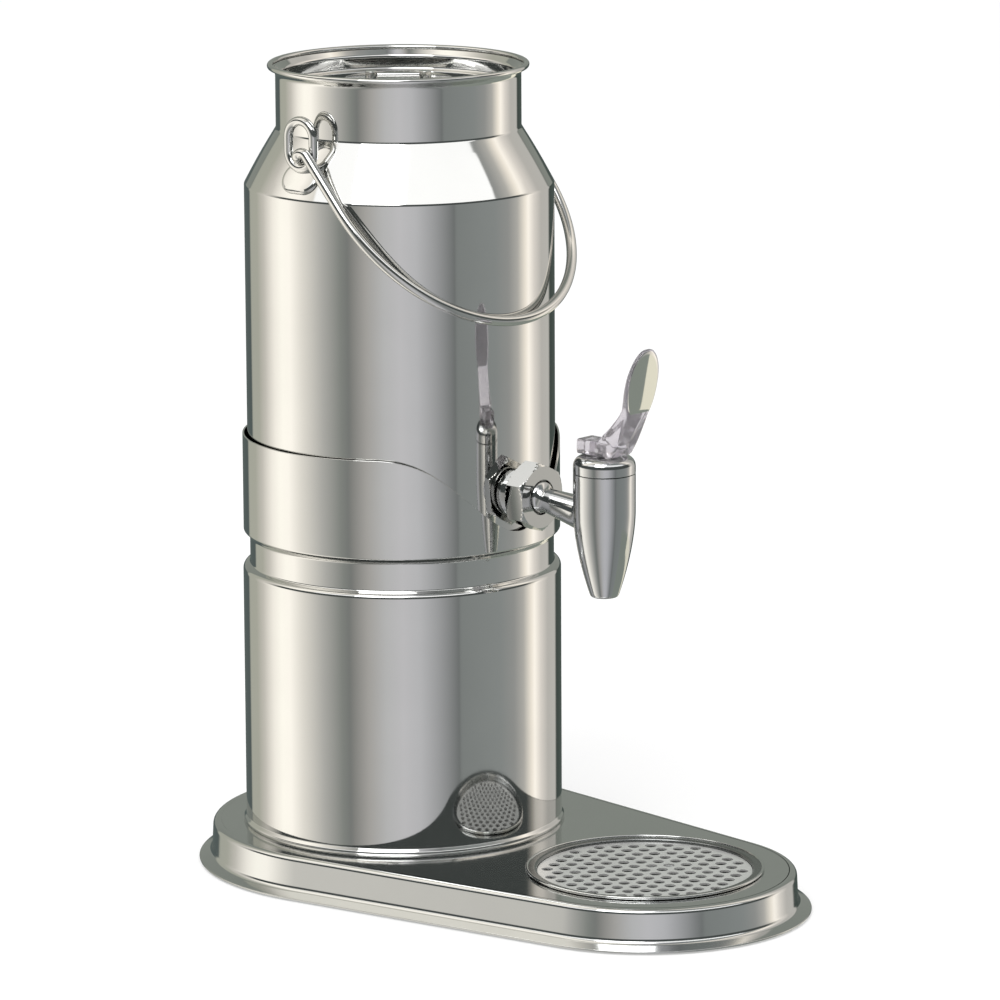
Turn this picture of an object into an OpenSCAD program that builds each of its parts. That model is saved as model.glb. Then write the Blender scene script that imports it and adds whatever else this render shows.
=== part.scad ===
/* [Base plate] */
// Radius of the plate's flat deck under the stand
deck_r_stand = 100; // [92:1:120]
// Radius of the plate's flat deck round the drip dish
deck_r_dish = 76.2; // [72:1:90]
// Distance from the can axis to the drip dish axis
dish_reach = 170; // [160:1:190]
// Height of the deck above the table
deck_h = 22; // [18:1:30]
// Sheet thickness of the plate
plate_t = 1; // [0.8:0.1:1.6]
// Width of the rounded edge outside the flat deck
edge_w = 3.6; // [2:0.1:6]
// Outward slope of the skirt over its height
skirt_slope = 0.9; // [0:0.1:2]
// Width of the flared flange outside the skirt
flange_w = 7.1; // [4:0.1:10]
// Height at which the skirt turns out into the flange
flange_h = 4.6; // [3:0.1:6]
// Gap between the flange's rim and the table
rim_gap = 0.8; // [0.4:0.1:2]
// Diameter of a rubber foot
foot_d = 18; // [12:1:20]
// Distance of the outer feet's centres inside the deck's edge
foot_inset = 8; // [7:0.5:12]

/* [Stand] */
// Outer radius of the lower stand tube
tube_r = 85.5; // [84:0.5:90]
// Outer radius of the rolled groove
groove_r = 81.7; // [79:0.1:83]
// Outer radius of the collar round the can
collar_r = 85.1; // [84.8:0.1:90]
// Sheet thickness of the stand tube
tube_t = 1; // [0.8:0.1:1.5]
// Height of the lower tube above the deck
tube_h = 141; // [110:1:180]
// Height of the rolled groove
groove_h = 16.3; // [12:0.1:24]
// Height of the collar above the groove
collar_h = 56; // [50:1:70]
// Depth of the tap notch below the collar's rim
notch_h = 43.5; // [42:0.5:45]
// Half width of the tap notch at the collar's rim
notch_half_w = 72; // [60:1:78]
// Radius of the rolled bead at the tube's foot
foot_bead_r = 1.9; // [1:0.1:3]
// Number of screws that hold the stand to the plate
stand_screw_n = 4; // [3:1:8]
// Distance of the screw circle inside the stand tube's face
stand_screw_inset = 11.5; // [8:0.5:14]
// Thread diameter of a stand screw
stand_screw_d = 5; // [4:1:6]
// Thickness of the mounting ring inside the tube's foot
foot_ring_t = 2; // [1.5:0.5:4]

/* [Drip dish and grid] */
// Outer radius of the dish's rim
dish_rim_r = 62.8; // [60:0.1:68]
// Inner radius of the dish's flat rim
dish_slope_r = 56.8; // [52:0.1:58]
// Depth of the bowl below the deck
dish_depth = 15; // [10:0.5:17]
// Sheet thickness of the dish
dish_t = 0.8; // [0.6:0.1:1.2]
// Drop of the grid below the dish's rim
grid_drop = 1.9; // [1:0.1:3]
// Thickness of the perforated grid
grid_t = 1; // [0.8:0.1:2]
// Diameter of a grid hole
grid_hole_d = 6.1; // [4:0.1:7]
// Distance between grid holes
grid_pitch = 9.2; // [8.5:0.1:12]
// Turn of the hole pattern about the dish axis
grid_turn = -43; // [-90:1:90]

/* [Milk can] */
// Outer radius of the can's wall
can_r = 82.5; // [80:0.5:83]
// Outer radius of the can's neck
neck_r = 65.2; // [60:0.2:70]
// Outer radius of the can's lip
lip_r = 69.5; // [67:0.1:74]
// Sheet thickness of the can
can_t = 0.9; // [0.7:0.1:1.4]
// Height of the cylindrical wall
wall_h = 189.6; // [150:1:240]
// Height of the sloped shoulder
shoulder_h = 30; // [20:1:45]
// Height of the neck from the shoulder to the lip's edge
neck_h = 34.3; // [28:0.1:45]
// Radius of the rolled edge of the lip
lip_bead_r = 1.6; // [1:0.1:2.4]
// Rise of the raised centre of the can's bottom
bottom_rise = 2.5; // [1:0.5:6]

/* [Carrying handle] */
// Diameter of the handle's rod
bail_d = 5.5; // [4.5:0.1:6]
// Distance of the handle's rod centre inside the can's wall, at the ears
bail_inset = 1; // [0.4:0.1:1.2]
// Length of the handle's straight arms
bail_arm = 40; // [36:0.5:60]
// Offset of the arms in front of the pivot
bail_crank = 8.2; // [7:0.1:12]
// Gap between the resting handle and the front of the can
bail_rest_gap = 0.95; // [0.3:0.05:6]
// Height of the pivot above the foot of the shoulder
pivot_h = 21.5; // [20:0.1:23]
// Diameter of the ear's wire
ear_d = 5; // [4:0.1:5.4]
// Half width of the ear, to the wire's centre
ear_half_w = 8.8; // [7.5:0.1:12]
// Height of the ear, to the wire's centres
ear_h = 25; // [22:0.5:32]

/* [Lid and ice tube] */
// Depth of the lid's pan below the can's lip
lid_depth = 12.9; // [10:0.1:20]
// Outer radius of the lid's pan
pan_r = 63.2; // [62:0.1:63.6]
// Sheet thickness of the lid
lid_t = 0.8; // [0.6:0.1:1.2]
// Outer radius of the ice tube
ice_r = 25; // [18:0.5:27]
// Length of the ice tube below the lid
ice_l = 205; // [120:1:215]
// Sheet thickness of the ice tube
ice_t = 0.8; // [0.6:0.1:1.2]
// Outer radius of the ice tube's cap
cap_r = 29.8; // [29.4:0.1:34]
// Height of the cap above the lid
cap_h = 3.9; // [3.4:0.1:8]
// Distance between the cap handle's posts
post_gap = 28.4; // [20:0.2:36]
// Diameter of a cap handle post
post_d = 6.6; // [4:0.1:8]
// Diameter of the cap handle's bar
bar_d = 2.6; // [2:0.1:3]
// Turn of the cap handle about the can axis
cap_turn = -48; // [-90:1:90]

/* [Tap] */
// Height of the tap's outlet pipe above the collar's lower edge
tap_h = 29; // [28.5:0.1:30]
// Distance from the can's wall to the spout's axis
spout_out = 60; // [56:0.5:68]
// Largest radius of the spout body
spout_r = 16.4; // [15.8:0.1:18]
// Length of the spout body below its cap
spout_l = 66.2; // [60:0.1:75]
// Radius of the spout at its mouth, before the rounding
mouth_r = 7.2; // [6.8:0.1:9]
// Radius of the milk passage at the mouth
mouth_bore_r = 4.6; // [3.5:0.1:5]
// Radius of the valve chamber
chamber_r = 12.3; // [11.8:0.1:13]
// Height of the spout's screwed cap
bonnet_h = 9.2; // [8:0.1:12]
// Radius of the screwed cap's rounded edge
bonnet_round = 5.4; // [3:0.1:6]
// Radius of the boss welded to the can
boss_r = 13; // [12:0.1:19]
// Thickness of the boss at the middle of the can's wall
boss_t = 3.2; // [2.5:0.1:4]
// Radius of the boss's threaded pipe
pipe_r = 10.2; // [9.8:0.1:10.6]
// Length of the threaded pipe in front of the boss
pipe_l = 8; // [7:0.1:10]
// Radius of the milk passage in the pipe
pipe_bore_r = 6.5; // [5:0.1:7]
// Width of the union nut across its flats
nut_af = 32.4; // [28:0.1:34]
// Thickness of the union nut
nut_t = 12; // [11:0.1:14]
// Turn of the union nut about the pipe
nut_turn = 25; // [0:1:60]
// Radius of the tap's neck inside the nut
tap_neck_r = 9.2; // [8.6:0.1:9.4]
// Radius of the tap's arm at the neck
arm_r_neck = 6; // [5.5:0.1:7]
// Radius of the tap's arm at the spout
arm_r_spout = 9.4; // [8:0.1:12]
// Drop of the arm between its two ends
arm_drop = 5; // [3:0.1:10]

/* [Valve] */
// Radius of the plunger rod
rod_r = 2.8; // [2.5:0.1:3]
// Diameter of the lever's pin
pin_d = 2.5; // [2:0.1:2.8]
// Lift of the plunger when the lever is pulled
valve_lift = 5; // [3:0.1:6]
// Largest radius of the silicone seat cup
cup_r = 8; // [6.5:0.1:8.5]
// Wire diameter of the closing spring
spring_wire_d = 1.4; // [1:0.1:1.6]
// Mean radius of the closing spring
spring_r = 6.6; // [5.8:0.1:8]
// Number of turns of the closing spring
spring_turns = 7; // [4:1:10]

/* [Lever] */
// Height of the lever above the tap's screwed cap
lever_h = 59.9; // [50:0.1:70]
// Half width of the lever's paddle
paddle_half_w = 12.6; // [10:0.1:14]
// Thickness of the lever's paddle at its low end
paddle_t = 4.6; // [4:0.1:7]
// Half width of the lever's arm below the paddle
lever_arm_half_w = 9; // [7:0.1:10]
// Rise of the lever's arm from the foot's top to the paddle
lever_rise = 17.3; // [12:0.1:24]
// Reach of the lever's arm from the foot's toe to the paddle's face
lever_reach = 11.4; // [8:0.1:16]
// Lean of the paddle's face to the front, over its height
paddle_lean = 6.3; // [3:0.1:12]
// Half height of the paddle's oval above its widest place
paddle_half_h = 18.4; // [14:0.1:24]
// Half height of the oval below its widest place, where it runs into the arm
paddle_low_half_h = 22.8; // [20:0.1:26]
// Half width of the lever's foot
lever_foot_half_w = 6.6; // [5.8:0.1:8]
// Height of the lever's foot
lever_foot_h = 7.4; // [6.5:0.1:9]
// Reach of the lever's foot behind the pin
lever_heel = 13.6; // [10:0.1:16]
// Reach of the lever's foot in front of the pin
lever_toe = 12.5; // [10:0.1:13]
// Thickness of the polished insert
insert_t = 1; // [0.6:0.1:1.5]

/* [Fits] */
// Gap between pieces that lift off or seat on each other
seat_gap = 0.3; // [0.1:0.05:0.5]
// Radial clearance of a pin or rod that turns or slides
run_gap = 0.05; // [0.02:0.01:0.1]
// Radial clearance of a screw in its hole
hole_gap = 0.25; // [0.1:0.05:0.5]
// Radial clearance of a thread or plug that is screwed or pressed home
thread_gap = 0.1; // [0.05:0.01:0.2]

/* [Hidden] */
$fn = 96;
steel = "silver";
rubber = "dimgray";
silicone = "whitesmoke";
clear_plastic = "lavender";
arc_steps = 7;
over = 1;

// Points of an open path of [x, y, corner radius] with each corner rounded by an arc
function unit(v) = v / norm(v);
function corner_arc(a, b, c, r) =
    let (u = unit(a - b), w = unit(c - b), half = acos(max(-1, min(1, u * w))) / 2)
    r <= 0 || half > 89.9 ? [b] :
    let (m = b + unit(u + w) * r / sin(half), p = b + u * r / tan(half), q = b + w * r / tan(half),
         s = atan2(p.y - m.y, p.x - m.x), e = atan2(q.y - m.y, q.x - m.x),
         turn = e - s > 180 ? e - s - 360 : e - s < -180 ? e - s + 360 : e - s)
    [for (i = [0 : arc_steps]) m + r * [cos(s + turn * i / arc_steps), sin(s + turn * i / arc_steps)]];
function xy(p) = [p.x, p.y];
function rounded(path) =
    [for (i = [0 : len(path) - 1])
        each i == 0 || i == len(path) - 1 ? [xy(path[i])] :
            corner_arc(xy(path[i - 1]), xy(path[i]), xy(path[i + 1]), path[i][2])];

// The same path moved by d to its left, so a sheet has one thickness round its bends
function left(v) = [-v.y, v.x];
function side(a, b, d) = left(unit(xy(b) - xy(a))) * d;
function turns_left(a, b, c) = cross(xy(b) - xy(a), xy(c) - xy(b)) > 0;
function shifted(path, d) =
    [for (i = [0 : len(path) - 1])
        let (p = path[i])
        i == 0 ? concat(xy(p) + side(p, path[1], d), [0]) :
        i == len(path) - 1 ? concat(xy(p) + side(path[i - 1], p, d), [0]) :
        let (n1 = side(path[i - 1], p, 1), n2 = side(p, path[i + 1], 1),
             r = p[2] + (turns_left(path[i - 1], p, path[i + 1]) ? -d : d))
        concat(xy(p) + (n1 + n2) * d / (1 + n1 * n2), [max(r, 0)])];
function reversed(list) = [for (i = [len(list) - 1 : -1 : 0]) list[i]];
function sheet(path, t) = concat(rounded(path), reversed(rounded(shifted(path, t))));

// Shell turned about the Z axis from the outer path of its sheet
module turned_sheet(path, t) {
    rotate_extrude($fn = 180) polygon(sheet(path, t));
}

module rod_between(a, b, r) {
    v = b - a;
    translate(a) rotate([0, acos(v.z / norm(v)), atan2(v.y, v.x)]) cylinder(r = r, h = norm(v));
}

// Heights of the stand and of the can that sits in it
deck_z = deck_h;
groove_z = deck_z + tube_h;
shoulder_drop = 1.8;
collar_slope = collar_r - groove_r;
collar_z = groove_z + groove_h + collar_slope;
collar_top_z = groove_z + groove_h + collar_h;
seat_line = groove_r - (groove_z + groove_h) - (tube_t + seat_gap) * sqrt(2);
can_corner_r = 3;
can_seat_r = can_r - can_corner_r * (1 - sqrt(0.5));
can_z = can_seat_r - seat_line - can_corner_r * (1 - sqrt(0.5));
bottom_wall_h = 8;
shoulder_z = can_z + wall_h;
neck_z = shoulder_z + shoulder_h;
lip_z = neck_z + neck_h;
bead_c_r = lip_r - lip_bead_r;
bead_c_z = lip_z - lip_bead_r;
flare_z = bead_c_z - (bead_c_r - neck_r) - lip_bead_r * sqrt(0.5);
can_bend_r = 3;
tap_z = collar_z + tap_h;

// Sheet of the plate's rim, from the flat border over the rounded edge and down the skirt to the flange
border = 4;
seam_step = 0.02;
seam_lap = 0.5;
deck_taper = asin((deck_r_stand - deck_r_dish) / dish_reach);
rim_path = [[-border, deck_z, 0], [edge_w, deck_z, 3], [edge_w + skirt_slope, flange_h, 3.6],
            [edge_w + skirt_slope + flange_w, rim_gap + plate_t, 0]];
module plate_end(r, angle) {
    rotate_extrude(angle = angle, $fn = 180) translate([r, 0]) polygon(sheet(rim_path, -plate_t));
}
// The straight sides lap the round ends and lie a hair inside them, so no two faces of the seam coincide
module plate_rim() {
    rotate([0, 0, -deck_taper]) plate_end(deck_r_stand, 180 + 2 * deck_taper);
    translate([0, -dish_reach, 0]) rotate([0, 0, 180 + deck_taper]) plate_end(deck_r_dish, 180 - 2 * deck_taper);
    for (s = [0, 1]) mirror([s, 0, 0])
        rotate([0, 0, -deck_taper]) translate([deck_r_stand - seam_step, seam_lap, 0]) rotate([90, 0, 0])
            linear_extrude(height = dish_reach * cos(deck_taper) + 2 * seam_lap) polygon(sheet(rim_path, -plate_t));
}
// Middle of the deck, inside the rim's border
module deck_middle() {
    r1 = deck_r_stand - border / 2;
    r2 = deck_r_dish - border / 2;
    p1 = (r1 - border / 8) * [cos(deck_taper), -sin(deck_taper)];
    p2 = (r2 - border / 8) * [cos(deck_taper), -sin(deck_taper)] - [0, dish_reach];
    circle(r = r1, $fn = 180);
    translate([0, -dish_reach]) circle(r = r2, $fn = 180);
    polygon([p1, [-p1.x, p1.y], [-p2.x, p2.y], p2]);
}
stand_screw_ring_r = tube_r - stand_screw_inset;
// Feet behind the stand, between the stand and the dish, and round the dish
foot_places = [(deck_r_stand - foot_inset) * [cos(45), sin(45)],
               [deck_r_stand - 3.5 * foot_inset, dish_slope_r + foot_d - dish_reach],
               (deck_r_dish - foot_inset) * [cos(51), -sin(51)] - [0, dish_reach]];
module stand_screw_places() {
    for (i = [0 : stand_screw_n - 1])
        rotate([0, 0, i * 360 / stand_screw_n]) translate([stand_screw_ring_r, 0, 0]) children();
}

dish_hole_r = dish_slope_r + dish_t + 1.2;
module base_plate() {
    color(steel) {
        plate_rim();
        difference() {
            translate([0, 0, deck_z - plate_t]) linear_extrude(height = plate_t) deck_middle();
            translate([0, -dish_reach, 0]) cylinder(r = dish_hole_r, h = 2 * deck_h, $fn = 180);
            stand_screw_places() cylinder(d = stand_screw_d + 2 * hole_gap, h = 2 * deck_h);
        }
    }
}
module rubber_feet() {
    color(rubber)
        for (s = [-1, 1], p = foot_places) translate([s * p.x, p.y, 0])
            rotate_extrude() polygon([[0, 0], [foot_d / 2 - 1, 0], [foot_d / 2, 1],
                                      [foot_d / 2 - 2, deck_z - plate_t], [0, deck_z - plate_t]]);
}

// Stand: one tube rolled in to a groove and out again to the collar
tube_path = [[tube_r, deck_z, 0], [tube_r, groove_z, 3.2], [groove_r, groove_z + shoulder_drop, 1.2],
             [groove_r, groove_z + groove_h, 1.6], [collar_r, collar_z, 1.2], [collar_r, collar_top_z, 0]];
notch_steps = 36;
function notch_edge(x) = -notch_h * (1 + cos(180 * x / notch_half_w)) / 2;
module tap_notch() {
    xs = [for (i = [0 : notch_steps]) notch_half_w * (2 * i / notch_steps - 1)];
    edge = [for (x = xs) [x, collar_top_z + notch_edge(x)]];
    rotate([90, 0, 0]) linear_extrude(height = 2 * collar_r)
        polygon(concat(edge, [[notch_half_w, collar_top_z + over], [-notch_half_w, collar_top_z + over]]));
}
module stand_tube() {
    color(steel) {
        difference() {
            turned_sheet(tube_path, tube_t);
            tap_notch();
        }
        difference() {
            translate([0, 0, deck_z + foot_bead_r]) rotate_extrude($fn = 180)
                translate([tube_r - 0.2, 0]) circle(r = foot_bead_r, $fn = 24);
            translate([0, 0, deck_z - over]) cylinder(r = tube_r - tube_t / 2, h = 4 * foot_bead_r + over);
        }
    }
}
module foot_ring() {
    color(steel) difference() {
        translate([0, 0, deck_z]) cylinder(r = tube_r - tube_t - 0.02, h = foot_ring_t, $fn = 180);
        translate([0, 0, deck_z - over])
            cylinder(r = tube_r - 2 * stand_screw_inset, h = foot_ring_t + 2 * over, $fn = 180);
        stand_screw_places() cylinder(d = stand_screw_d + 2 * run_gap, h = 2 * deck_h);
    }
}
module stand_screws() {
    head_h = 3;
    color(steel) stand_screw_places() {
        difference() {
            translate([0, 0, deck_z - plate_t - head_h]) cylinder(r = 0.85 * stand_screw_d, h = head_h);
            translate([0, 0, deck_z - plate_t - head_h - over])
                cylinder(r = stand_screw_d * 0.34, h = head_h * 0.6 + over, $fn = 6);
        }
        translate([0, 0, deck_z - plate_t - over]) cylinder(d = stand_screw_d, h = plate_t + foot_ring_t + 2 * over);
    }
}

// Drip dish hung in the plate by its rim, with the grid on its ledge
dish_top_z = deck_z + seat_gap + dish_t;
grid_z = dish_top_z - grid_drop;
ledge_z = grid_z - grid_t - seat_gap;
dish_bottom_z = deck_z - dish_depth;
ledge_w = 2.4;
dish_bead_r = 0.8;
dish_path = [[0, dish_bottom_z, 0], [dish_slope_r - ledge_w, dish_bottom_z, 4],
             [dish_slope_r - ledge_w, ledge_z - dish_t, 0.6], [dish_slope_r + dish_t, ledge_z - dish_t, 0.8],
             [dish_slope_r + dish_t, dish_top_z - dish_t, 0.8], [dish_rim_r - dish_bead_r, dish_top_z - dish_t, 0]];
module drip_dish() {
    color(steel) translate([0, -dish_reach, 0]) {
        turned_sheet(dish_path, dish_t);
        rotate_extrude($fn = 180) translate([dish_rim_r - dish_bead_r, deck_z + seat_gap + dish_bead_r])
            circle(r = dish_bead_r, $fn = 16);
    }
}
grid_r = dish_slope_r - seat_gap;
grid_field_r = grid_r - grid_hole_d / 2 - 1.2;
module drip_grid() {
    rows = ceil(grid_field_r / (grid_pitch * sqrt(0.75)));
    cols = ceil(grid_field_r / grid_pitch) + rows;
    color(steel) translate([0, -dish_reach, grid_z - grid_t]) rotate([0, 0, grid_turn])
        linear_extrude(height = grid_t) difference() {
            circle(r = grid_r, $fn = 180);
            for (i = [-rows : rows], j = [-cols : cols]) {
                p = [grid_pitch * (j + i / 2), grid_pitch * sqrt(0.75) * i];
                if (norm(p) < grid_field_r) translate(p) circle(d = grid_hole_d, $fn = 24);
            }
        }
}

// Milk can: shell with shoulder, neck and lip, closed by its pressed bottom
can_path = [[can_r, can_z + bottom_wall_h, 0], [can_r, shoulder_z, can_bend_r], [neck_r, neck_z, can_bend_r],
            [neck_r, flare_z, can_bend_r], [bead_c_r, flare_z + bead_c_r - neck_r, 0]];
pipe_hole_r = pipe_bore_r + 1.5;
module milk_can() {
    color(steel) {
        difference() {
            turned_sheet(can_path, can_t);
            translate([0, -can_r / 2, tap_z]) rotate([90, 0, 0]) cylinder(r = pipe_hole_r, h = can_r);
        }
        translate([0, 0, bead_c_z]) rotate_extrude($fn = 180)
            translate([bead_c_r, 0]) circle(r = lip_bead_r, $fn = 24);
    }
}
foot_rim_w = 13;
bottom_path = [[0, can_z + bottom_rise, 0], [can_r - foot_rim_w, can_z + bottom_rise, 2],
               [can_r - foot_rim_w + bottom_rise, can_z, 2], [can_r, can_z, can_corner_r],
               [can_r, can_z + bottom_wall_h, 0]];
module can_bottom() {
    color(steel) turned_sheet(bottom_path, can_t);
}

// Ears: closed wire loops on weld pads that follow the shoulder
bail_r = can_r - bail_inset;
bail_lean = asin((can_r + bail_d / 2 + bail_rest_gap) / norm([bail_arm + bail_r, bail_crank]))
            - atan(bail_crank / (bail_arm + bail_r));
pivot_z = shoulder_z + pivot_h;
ear_x = bail_r - bail_d / 2 - seat_gap - ear_d / 2;
ear_low_z = pivot_z - bail_d / 2 - seat_gap - ear_d / 2;
pad_t = 2.2;
pad_half_w = 12;
pad_half_h = 8;
module shoulder_cone(d) {
    slant = norm([can_r - neck_r, shoulder_h]);
    grow = d * slant / shoulder_h;
    rise = over * shoulder_h / (can_r - neck_r);
    translate([0, 0, shoulder_z - rise])
        cylinder(r1 = can_r + over + grow, r2 = neck_r - over + grow, h = shoulder_h + 2 * rise, $fn = 180);
}
module ear() {
    low_c = ear_low_z + ear_half_w;
    high_c = ear_low_z + ear_h - ear_half_w;
    lean = atan((can_r - neck_r) / shoulder_h);
    pad_z = pivot_z - bail_d / 2 - 2 * seat_gap - pad_half_h * cos(lean) - pad_t * sin(lean);
    pad_x = can_r - (pad_z - shoulder_z) * tan(lean);
    difference() {
        union() {
            for (y = [-ear_half_w, ear_half_w])
                translate([ear_x, y, low_c]) cylinder(d = ear_d, h = high_c - low_c, $fn = 32);
            translate([ear_x, 0, high_c]) rotate([90, 0, 90])
                rotate_extrude(angle = 180) translate([ear_half_w, 0]) circle(d = ear_d, $fn = 32);
            translate([ear_x, 0, low_c]) rotate([90, 0, 90]) rotate([0, 0, 180])
                rotate_extrude(angle = 180) translate([ear_half_w, 0]) circle(d = ear_d, $fn = 32);
            intersection() {
                shoulder_cone(pad_t);
                translate([pad_x, 0, pad_z]) rotate([0, 90 - lean, 0])
                    translate([0, 0, -4]) linear_extrude(height = 12) union() {
                        square([2 * pad_half_h, 2 * (pad_half_w - pad_half_h)], center = true);
                        for (s = [-1, 1]) translate([0, s * (pad_half_w - pad_half_h)]) circle(r = pad_half_h);
                    }
            }
        }
        shoulder_cone(0.02);
    }
}
module ear_right() {
    color(steel) ear();
}
module ear_left() {
    color(steel) mirror([1, 0, 0]) ear();
}

// Handle: round bow, straight arms, and ends bent through the ears
bail_tip = 1.2;
bend_r = bail_crank / 2;
module quarter_bend() {
    rotate_extrude(angle = 90) translate([bend_r, 0]) circle(d = bail_d, $fn = 32);
}
module bail_side() {
    tip_x = ear_x - ear_d / 2 - bail_tip;
    translate([tip_x, 0, 0]) rotate([0, 90, 0]) cylinder(d = bail_d, h = bail_r - bend_r - tip_x, $fn = 32);
    translate([bail_r - bend_r, -bend_r, 0]) quarter_bend();
    translate([bail_r, -bend_r, -bend_r]) rotate([90, 0, 90]) rotate([0, 0, 90]) quarter_bend();
    translate([bail_r, -bail_crank, -bail_arm]) cylinder(d = bail_d, h = bail_arm - bend_r, $fn = 32);
}
module bail_handle() {
    color(steel) translate([0, 0, pivot_z]) rotate([-bail_lean, 0, 0]) {
        for (s = [0, 1]) mirror([s, 0, 0]) bail_side();
        translate([0, -bail_crank, -bail_arm]) rotate([90, 0, 0]) rotate([0, 0, 180])
            rotate_extrude(angle = 180, $fn = 180) translate([bail_r, 0]) circle(d = bail_d, $fn = 32);
    }
}

// Lid: a pan whose flared flange lies on the can's flare
lid_z = lip_z - lid_depth;
lid_under_z = lid_z - lid_t;
flare_line = neck_r - flare_z - (can_t + seat_gap) * sqrt(2);
lid_edge_r = bead_c_r - lip_bead_r - 0.2;
lid_path = [[ice_r + seat_gap, lid_under_z, 0], [pan_r, lid_under_z, 2.4], [pan_r, pan_r - flare_line, 1.6],
            [lid_edge_r, lid_edge_r - flare_line, 0]];
module lid() {
    color(steel) turned_sheet(lid_path, lid_t);
}

// Ice tube hung in the lid, closed by a cap with a sealed plug
ice_flange_r = cap_r - lid_t - 0.6;
ice_flange_z = lid_z + seat_gap;
ice_path = [[0, lid_z - ice_l, 0], [ice_r, lid_z - ice_l, 6], [ice_r, ice_flange_z, 0.6], [ice_flange_r, ice_flange_z, 0]];
cap_z = lid_z + cap_h;
cap_t = 0.8;
plug_h = 7;
plug_z = cap_z - cap_t - plug_h;
plug_r = ice_r - ice_t - seat_gap;
seal_groove = 1.2;
seal_h = 3;
seal_z = plug_z + 2;
module ice_tube() {
    color(steel) turned_sheet(ice_path, ice_t);
}
module ice_cap() {
    color(steel) rotate_extrude($fn = 180) polygon(concat(
        [[0, cap_z]],
        corner_arc([0, cap_z], [cap_r, cap_z], [cap_r, lid_z], 1.6),
        [[cap_r, lid_z + seat_gap], [cap_r - cap_t, lid_z + seat_gap], [cap_r - cap_t, cap_z - cap_t],
         [plug_r, cap_z - cap_t], [plug_r, seal_z + seal_h], [plug_r - seal_groove, seal_z + seal_h],
         [plug_r - seal_groove, seal_z], [plug_r, seal_z], [plug_r, plug_z], [plug_r - 2.4, plug_z],
         [plug_r - 2.4, cap_z - cap_t], [0, cap_z - cap_t]]));
}
module ice_cap_seal() {
    color(silicone) rotate_extrude($fn = 180) polygon([
        [plug_r - seal_groove, seal_z], [ice_r - ice_t - run_gap - 0.2, seal_z],
        [ice_r - ice_t - run_gap, seal_z + seal_h / 2],
        [ice_r - ice_t - run_gap - 0.2, seal_z + seal_h], [plug_r - seal_groove, seal_z + seal_h]]);
}
module cap_handle() {
    post_h = bar_d + 1.4;
    color(steel) translate([0, 0, cap_z]) rotate([0, 0, cap_turn]) {
        for (s = [-1, 1]) translate([s * post_gap / 2, 0, 0])
            rotate_extrude($fn = 48) polygon([[0, 0], [post_d / 2, 0], [post_d / 2, post_h - 0.5],
                                              [post_d / 2 - 0.5, post_h], [0, post_h]]);
        translate([-post_gap / 2, 0, post_h - bar_d / 2 - 0.9]) rotate([0, 90, 0])
            cylinder(d = bar_d, h = post_gap, $fn = 24);
    }
}

// Tap joint: boss and pipe welded to the can, gasket and union nut
boss_y = -(can_r + boss_t);
pipe_end_y = boss_y - pipe_l;
gasket_t = 1.5;
collar_y = pipe_end_y - gasket_t;
collar_t = 2;
nut_y = collar_y - collar_t - 2.6;
tap_neck_y = nut_y - 2;
// Round piece along the tap's pipe, from [distance in front of the can axis, radius] pairs
module along_pipe(points) {
    translate([0, 0, tap_z]) rotate([90, 0, 0]) rotate_extrude($fn = 96) polygon([for (p = points) [p[1], p[0]]]);
}
spigot_end = can_r - can_t - 2.4;
module outlet_boss() {
    color(steel) difference() {
        along_pipe([[spigot_end, 0], [spigot_end, boss_r], [-boss_y - 0.6, boss_r],
                    [-boss_y, boss_r - 0.6], [-boss_y, pipe_r], [-pipe_end_y, pipe_r], [-pipe_end_y, 0]]);
        difference() {
            cylinder(r = can_r + 0.02, h = 2 * tap_z, $fn = 180);
            translate([0, 0, tap_z]) rotate([90, 0, 0]) cylinder(r = pipe_hole_r - 0.1, h = can_r + over);
        }
        translate([0, 0, tap_z]) rotate([90, 0, 0]) cylinder(r = pipe_bore_r, h = 2 * can_r);
    }
}
module tap_gasket() {
    color(silicone) along_pipe([[-pipe_end_y, pipe_bore_r], [-collar_y, pipe_bore_r],
                                [-collar_y, pipe_r - 0.2], [-pipe_end_y, pipe_r - 0.2]]);
}
module union_nut() {
    back_y = nut_y + nut_t;
    ac = nut_af / sqrt(3);
    color(steel) difference() {
        intersection() {
            translate([0, back_y, tap_z]) rotate([90, nut_turn, 0]) cylinder(r = ac, h = nut_t, $fn = 6);
            along_pipe([[-back_y, 0], [-back_y, ac - 1.6], [-back_y + 1, ac], [-nut_y - 1, ac],
                        [-nut_y, ac - 1.6], [-nut_y, 0]]);
        }
        along_pipe([[-back_y - over, 0], [-back_y - over, pipe_r + thread_gap],
                    [-collar_y + collar_t, pipe_r + thread_gap], [-collar_y + collar_t, tap_neck_r + hole_gap],
                    [-nut_y + over, tap_neck_r + hole_gap], [-nut_y + over, 0]]);
    }
}

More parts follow.
